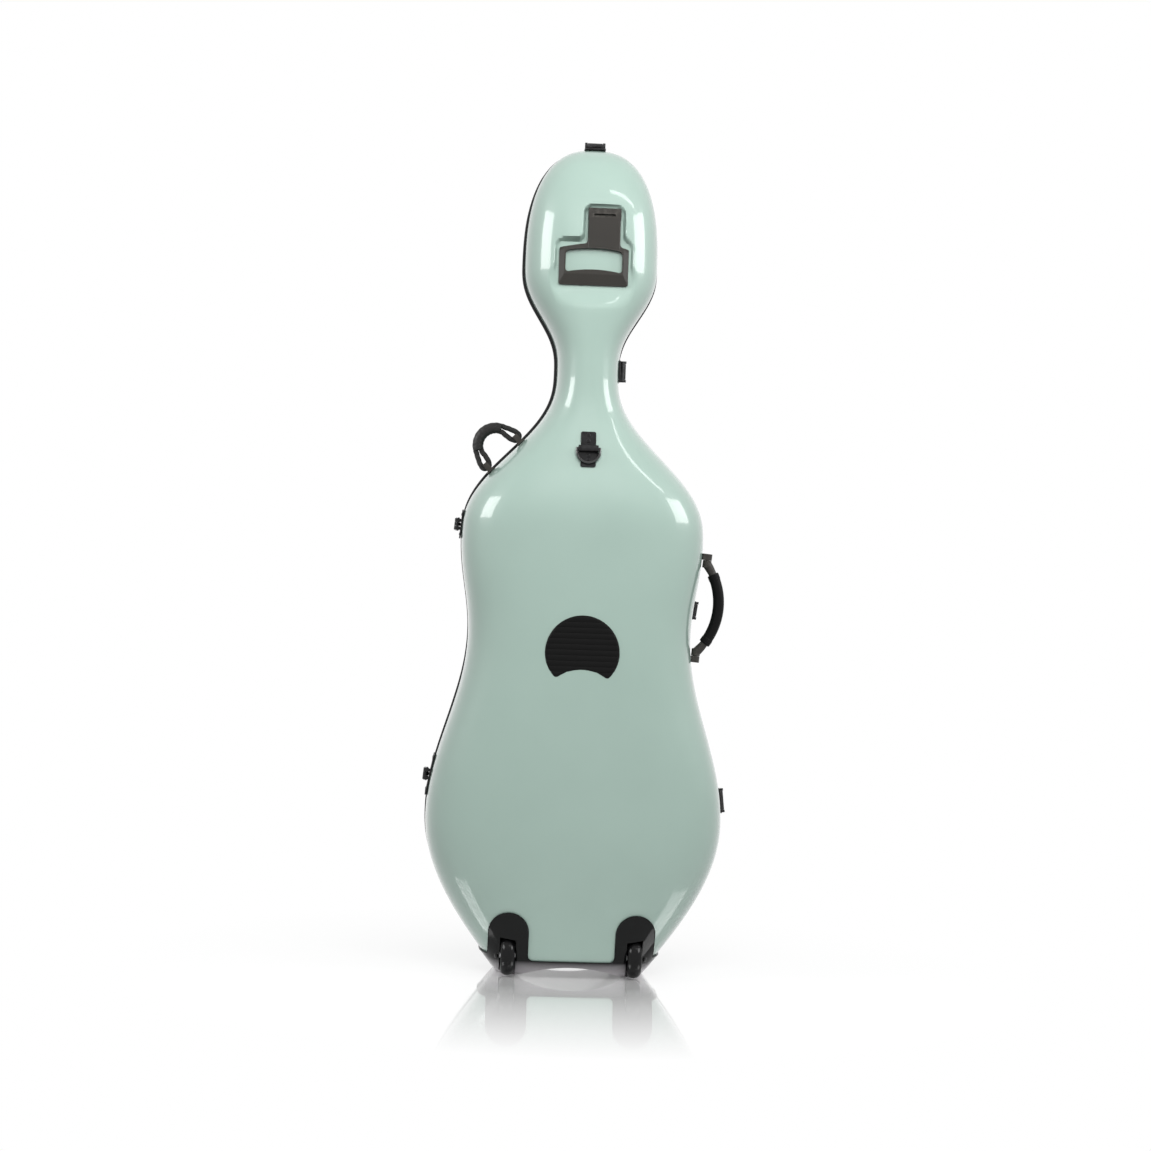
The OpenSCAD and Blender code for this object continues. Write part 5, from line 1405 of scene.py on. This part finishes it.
# %% Cushions
def evaluated(obj):
    """The object's mesh with its modifiers applied, as arrays of points and a list of faces."""
    shown = obj.evaluated_get(bpy.context.evaluated_depsgraph_get())
    mesh = shown.to_mesh()
    points = np.empty(len(mesh.vertices) * 3)
    mesh.vertices.foreach_get("co", points)
    faces = [list(p.vertices) for p in mesh.polygons]
    shown.to_mesh_clear()
    return points.reshape(-1, 3), faces


def scratch(points, faces):
    """A smooth scratch object from points in metres."""
    mesh = bpy.data.meshes.new("scratch")
    mesh.from_pydata(points.tolist(), [], faces)
    mesh.shade_smooth()
    return temporary(mesh)


CLOTH_FRAMES = 20


def swell(points, faces, cap, pressure):
    """A little cloth under pressure without gravity; no point moves further than cap."""
    obj = scratch(points, faces)
    cloth = obj.modifiers.new("swell", "CLOTH")
    fabric = cloth.settings
    fabric.quality, fabric.mass, fabric.bending_stiffness = 5, 0.3, 0.6
    fabric.tension_stiffness = fabric.compression_stiffness = 12
    fabric.use_pressure, fabric.uniform_pressure_force = True, pressure
    fabric.effector_weights.gravity = 0
    cloth.collision_settings.use_collision = False
    cloth.point_cache.frame_start, cloth.point_cache.frame_end = 1, CLOTH_FRAMES
    for number in range(1, CLOTH_FRAMES + 1):
        bpy.context.scene.frame_set(number)
        bpy.context.evaluated_depsgraph_get()
    swollen, _ = evaluated(obj)
    bpy.context.scene.frame_set(1)
    drop(obj)
    move = swollen - points
    size = np.linalg.norm(move, axis=1, keepdims=True).clip(1e-9)
    return points + move * np.minimum(1, cap / size)


def cushion(name, node, voxel, inward, cap, after=None, pressure=4.0):
    """Remeshed, drawn-in copy of a soft solid, swollen, trimmed by after() and subdivided."""
    obj = temporary(cleaned(frame["nodes"][node].data.copy()))
    remesh = obj.modifiers.new("remesh", "REMESH")
    remesh.mode, remesh.voxel_size, remesh.use_smooth_shade = "VOXEL", voxel, True
    smooth = obj.modifiers.new("smooth", "SMOOTH")
    smooth.factor, smooth.iterations = 0.5, 5
    shrink = obj.modifiers.new("shrink", "DISPLACE")
    shrink.strength, shrink.mid_level = -inward, 0.0
    points, faces = evaluated(obj)
    drop(obj)
    if cap:
        points = swell(points, faces, cap, pressure)
    elif cap:
        shrunk = scratch(points, faces)
        normals = np.empty(len(points) * 3)
        shrunk.data.vertices.foreach_get("normal", normals)
        points = points + normals.reshape(-1, 3) * inward * 0.8
        drop(shrunk)
    if after is not None:
        points = after(points * 1000) * 0.001
    finer = scratch(points, faces)
    level = finer.modifiers.new("finer", "SUBSURF")
    level.levels = level.render_levels = 1
    points, faces = evaluated(finer)
    drop(finer)
    made = as_object(name, points * 1000, [faces], BODY_OF[node], SLOT_OF[node], [node],
                     sharp=75, fix=False)
    print(name, len(faces), "faces")


BOLSTERS = {"lower_bolster": (270, 90, 200), "upper_bolster": (220, 76, 660)}
SEAT_IN, CHANNEL, PINCH, BOLSTER_T = 7.8, 0.333, 0.06, 30


def bolster_trim(w, h, z0):
    """Keeps a bolster on its lining and presses in two sewn channels at a third of its width."""
    def trim(points):
        x, y, z = points.T
        seat = RIM_Y - skin_depth(BACK, x, z, SEAT_IN)
        u, v = np.clip(x / (w / 2), -1, 1), np.clip((z - z0) / (h / 2), -1, 1)
        high = np.clip((y - seat) / 14, 0, 1)
        groove = np.exp(-((np.abs(u) - CHANNEL) / 0.03) ** 2) * (1 - v ** 6)
        y = np.maximum(y - 4.5 * groove * high, seat)
        return np.stack([x, y, z], -1)
    return trim


def bolster_surface(w, h, z0, u, v, lift):
    """A point of the bolster: pinched outline, height over the lining times lift."""
    x = w / 2 * u * (1 - PINCH * (1 - v * v))
    z = z0 + h / 2 * v * (1 - PINCH * (1 - u * u))
    full = BOLSTER_T * (0.3 + 0.7 * (1 - u ** 4) * (1 - v ** 4))
    return np.stack([x, RIM_Y - skin_depth(BACK, x, z, SEAT_IN) + full * lift, z], -1)


for node, (w, h, z0) in BOLSTERS.items():
    cushion(f"{node}_cushion", node, 0.005, 0.0035, 0.006, bolster_trim(w, h, z0))
    e = np.linspace(-1, 1, 60)[:-1]
    one = np.ones_like(e)
    u, v = np.concatenate([e, one, -e, -one]), np.concatenate([-one, e, one, -e])
    squash = 1 - 0.035 * (u * u * v * v) ** 2
    path = bolster_surface(w, h, z0, u * squash * 0.985, v * squash * 0.97, 0.55)
    piping = tube(path, 1.7, 10, closed=True)
    seams = []
    for s in (-1, 1):
        v = np.linspace(-0.9, 0.9, 40)
        line = bolster_surface(w, h, z0, s * CHANNEL + 0 * v, v, 0.72)
        line[:, 1] -= 4.1
        seams.append(tube(line, 0.7, 8))
    as_object(f"{node}_piping", *joined(piping, *seams), "back", "foam_cover", sharp=60)


NECK_DEEP, NECK_R = 29, 22.2


def cradle_trim(points):
    """Keeps the cradle off the lining and the neck channel, a round-bottomed slot, free."""
    x, y, z = points.T
    seat = RIM_Y - skin_depth(BACK, x, z, 8.2)
    y = np.maximum(y, seat)
    away = np.hypot(x, y - RIM_Y + NECK_DEEP)
    push = np.where((y - RIM_Y < -NECK_DEEP) & (away < NECK_R), NECK_R / away.clip(1), 1)
    x, y = x * push, RIM_Y - NECK_DEEP + (y - RIM_Y + NECK_DEEP) * push
    x = np.where((y - RIM_Y >= -NECK_DEEP) & (np.abs(x) < NECK_R), np.sign(x) * NECK_R, x)
    return np.stack([x, np.minimum(y, RIM_Y - 8.1), z], -1)


cushion("neck_cradle_cushion", "neck_cradle", 0.004, 0.002, 0.004, cradle_trim)
cushion("end_block_cushion", "end_block", 0.004, 0.002, 0.0035,
        lambda p: np.stack([p[:, 0], p[:, 1], p[:, 2].clip(29.8, 63.8)], -1))
cushion("bow_pockets_velvet", "bow_tip_pockets", 0.0018, 0.0, 0.0)


# %% Neck strap of woven webbing
def strap_path():
    """Flat tabs on the cradle joined by a half circle over the neck."""
    a = np.linspace(pi, 0, 41)
    arch = np.stack([24 * np.cos(a), -7.7 + 24 * np.sin(a)], -1)
    left = np.stack([np.linspace(-37, -26.5, 8), np.full(8, -6.7)], -1)
    return smoothed(np.concatenate([left, arch[2:-2], left[::-1] * [-1, 1]]), 3)


flat = strap_path()
step = np.gradient(flat, axis=0)
normal = np.stack([-step[:, 1], step[:, 0]], -1) / np.linalg.norm(step, axis=1)[:, None]
run = length_along(flat)
half, thick, STRAP_Z = 15.0, 0.85, 900
ring = np.array([[-thick, -half + 0.5], [-0.4 * thick, -half], [0.4 * thick, -half], [thick, -half + 0.5],
                 [thick, 0], [thick, half - 0.5], [0.4 * thick, half], [-0.4 * thick, half],
                 [-thick, half - 0.5], [-thick, 0]])
body = flat[:, None] + ring[None, :, :1] * normal[:, None]
points = np.concatenate([body, np.broadcast_to(ring[None, :, 1:] + STRAP_Z, body.shape[:2] + (1,))], -1)
strap = as_object("neck_strap_webbing", on_back(points.reshape(-1, 3)), tube_faces(len(flat), len(ring)),
                  "back", "webbing", ["neck_strap"], sharp=50, fix=False)
layer = strap.data.uv_layers.new(name="weave")
corner = np.empty(len(strap.data.loops), int)
strap.data.loops.foreach_get("vertex_index", corner)
uv = np.stack([run[corner // len(ring)] / 30, ring[corner % len(ring), 1] / 30], -1)
layer.data.foreach_set("uv", uv.ravel())
stitches = []
for s in (-1, 1):
    for x in (29.5, 34.5):
        for z in np.arange(STRAP_Z - 12, STRAP_Z + 13, 3.4):
            row = np.array([[s * x, -5.75, z], [s * x, -5.55, z + 1.1], [s * x, -5.75, z + 2.2]])
            stitches.append(tube(on_back(row), 0.35, 6))
as_object("neck_strap_stitches", *joined(*stitches), "back", "foam_cover", sharp=60)
print("interior done")


# %% [markdown]
# ## Floor and light
# A product picture has a white surround. The world and the far floor are white where the
# camera, a mirror or glass looks, and give a calmer light to everything else. Near the case
# the floor is a real glossy surface, so it keeps the soft shadow and a short reflection.

# %% World
AMBIENT = 0.2


def build_world():
    """White where it is seen, and a calm even light otherwise."""
    world = bpy.data.worlds.new("white_studio")
    bpy.context.scene.world = world
    world.use_nodes = True
    tree = world.node_tree
    tree.nodes.clear()
    back = tree.nodes.new("ShaderNodeBackground")
    back.inputs["Color"].default_value = (1, 1, 1, 1)
    tree.links.new(seen_directly(tree, AMBIENT, 1.0), back.inputs["Strength"])
    out = tree.nodes.new("ShaderNodeOutputWorld")
    tree.links.new(back.outputs[0], out.inputs["Surface"])


def seen_directly(tree, otherwise, seen):
    """Light Path switch: seen for camera, glossy and transmission rays, otherwise for the rest."""
    path = tree.nodes.new("ShaderNodeLightPath")
    direct = path.outputs["Is Camera Ray"]
    for kind in ("Is Glossy Ray", "Is Transmission Ray"):
        direct = put(tree, "ShaderNodeMath", [(0, direct), (1, path.outputs[kind])],
                     operation="MAXIMUM").outputs[0]
    return ramp(tree, direct, 0, 1, otherwise, seen)


build_world()


# %% Floor
def floor_material():
    """A white lacquered floor near the case that turns into plain white further out."""
    material, tree, bsdf = shader("studio_floor", Roughness=0.05, IOR=1.6, Metallic=0.6)
    bsdf.inputs["Base Color"].default_value = (0.96, 0.96, 0.96, 1)
    where = here(tree)
    far = put(tree, "ShaderNodeVectorMath", [(0, where)], operation="LENGTH").outputs["Value"]
    fade = ramp(tree, far, 0.2, 0.75, 0.1, 1.0)
    white = tree.nodes.new("ShaderNodeEmission")
    tree.links.new(seen_directly(tree, 0.12, 1.0), white.inputs["Strength"])
    tree.links.new(stretched(tree, noise(tree, where, 3.0), 0.035, 0.06), bsdf.inputs["Roughness"])
    mix = put(tree, "ShaderNodeMixShader", [(0, fade), (1, bsdf.outputs[0]), (2, white.outputs[0])])
    out = tree.nodes["Material Output"]
    tree.links.new(mix.outputs[0], out.inputs["Surface"])
    return material


def build_floor():
    """A wide sheet under the case that belongs to the studio and not to the part."""
    mesh = bpy.data.meshes.new("studio_floor")
    mesh.from_pydata([(-40, -12, 0), (40, -12, 0), (40, 60, 0), (-40, 60, 0)], [], [(0, 1, 2, 3)])
    floor = bpy.data.objects.new("studio_floor", mesh)
    bpy.context.scene.collection.objects.link(floor)
    mesh.materials.append(floor_material())


build_floor()


# %% Lamps
def softbox(name, where, aim, size, power, mirrored=False, roll=0.0):
    """A rectangular lamp that looks from where to aim, rolled about its own axis by roll degrees.
    Glossy pieces show it where mirrored is set."""
    data = bpy.data.lights.new(name, "AREA")
    data.shape = "RECTANGLE"
    data.size, data.size_y, data.energy = size[0], size[1], power
    lamp = bpy.data.objects.new(name, data)
    lamp.location = where
    lamp.rotation_euler = (Vector(aim) - Vector(where)).to_track_quat("-Z", "Y").to_euler()
    lamp.rotation_euler.rotate_axis("Z", radians(roll))
    lamp.visible_glossy = mirrored
    bpy.context.scene.collection.objects.link(lamp)
    return lamp


softbox("overhead_softbox", (0.0, -1.7, 2.5), (0, -0.1, 1.0), (2.2, 1.0), 12)
softbox("left_strip", (-2.1, -0.8, 1.68), (0, -0.1, 1.3), (1.15, 0.9), 24, True)
softbox("right_strip", (2.1, -0.8, 1.68), (0, -0.1, 1.3), (1.25, 0.9), 24, True)
softbox("top_strip", (1.15, -1.4, 2.5), (0.05, -0.1, 1.0), (1.5, 0.14), 5, True, roll=-22)
softbox("front_fill", (0.2, -1.9, 1.8), (0, 0, 1.1), (1.8, 0.7), 38)
softbox("rear_fill", (0.0, 3.2, 2.4), (0, 0.1, 0.7), (3.0, 2.0), 60)

bpy.context.scene.view_settings.view_transform = "Standard"
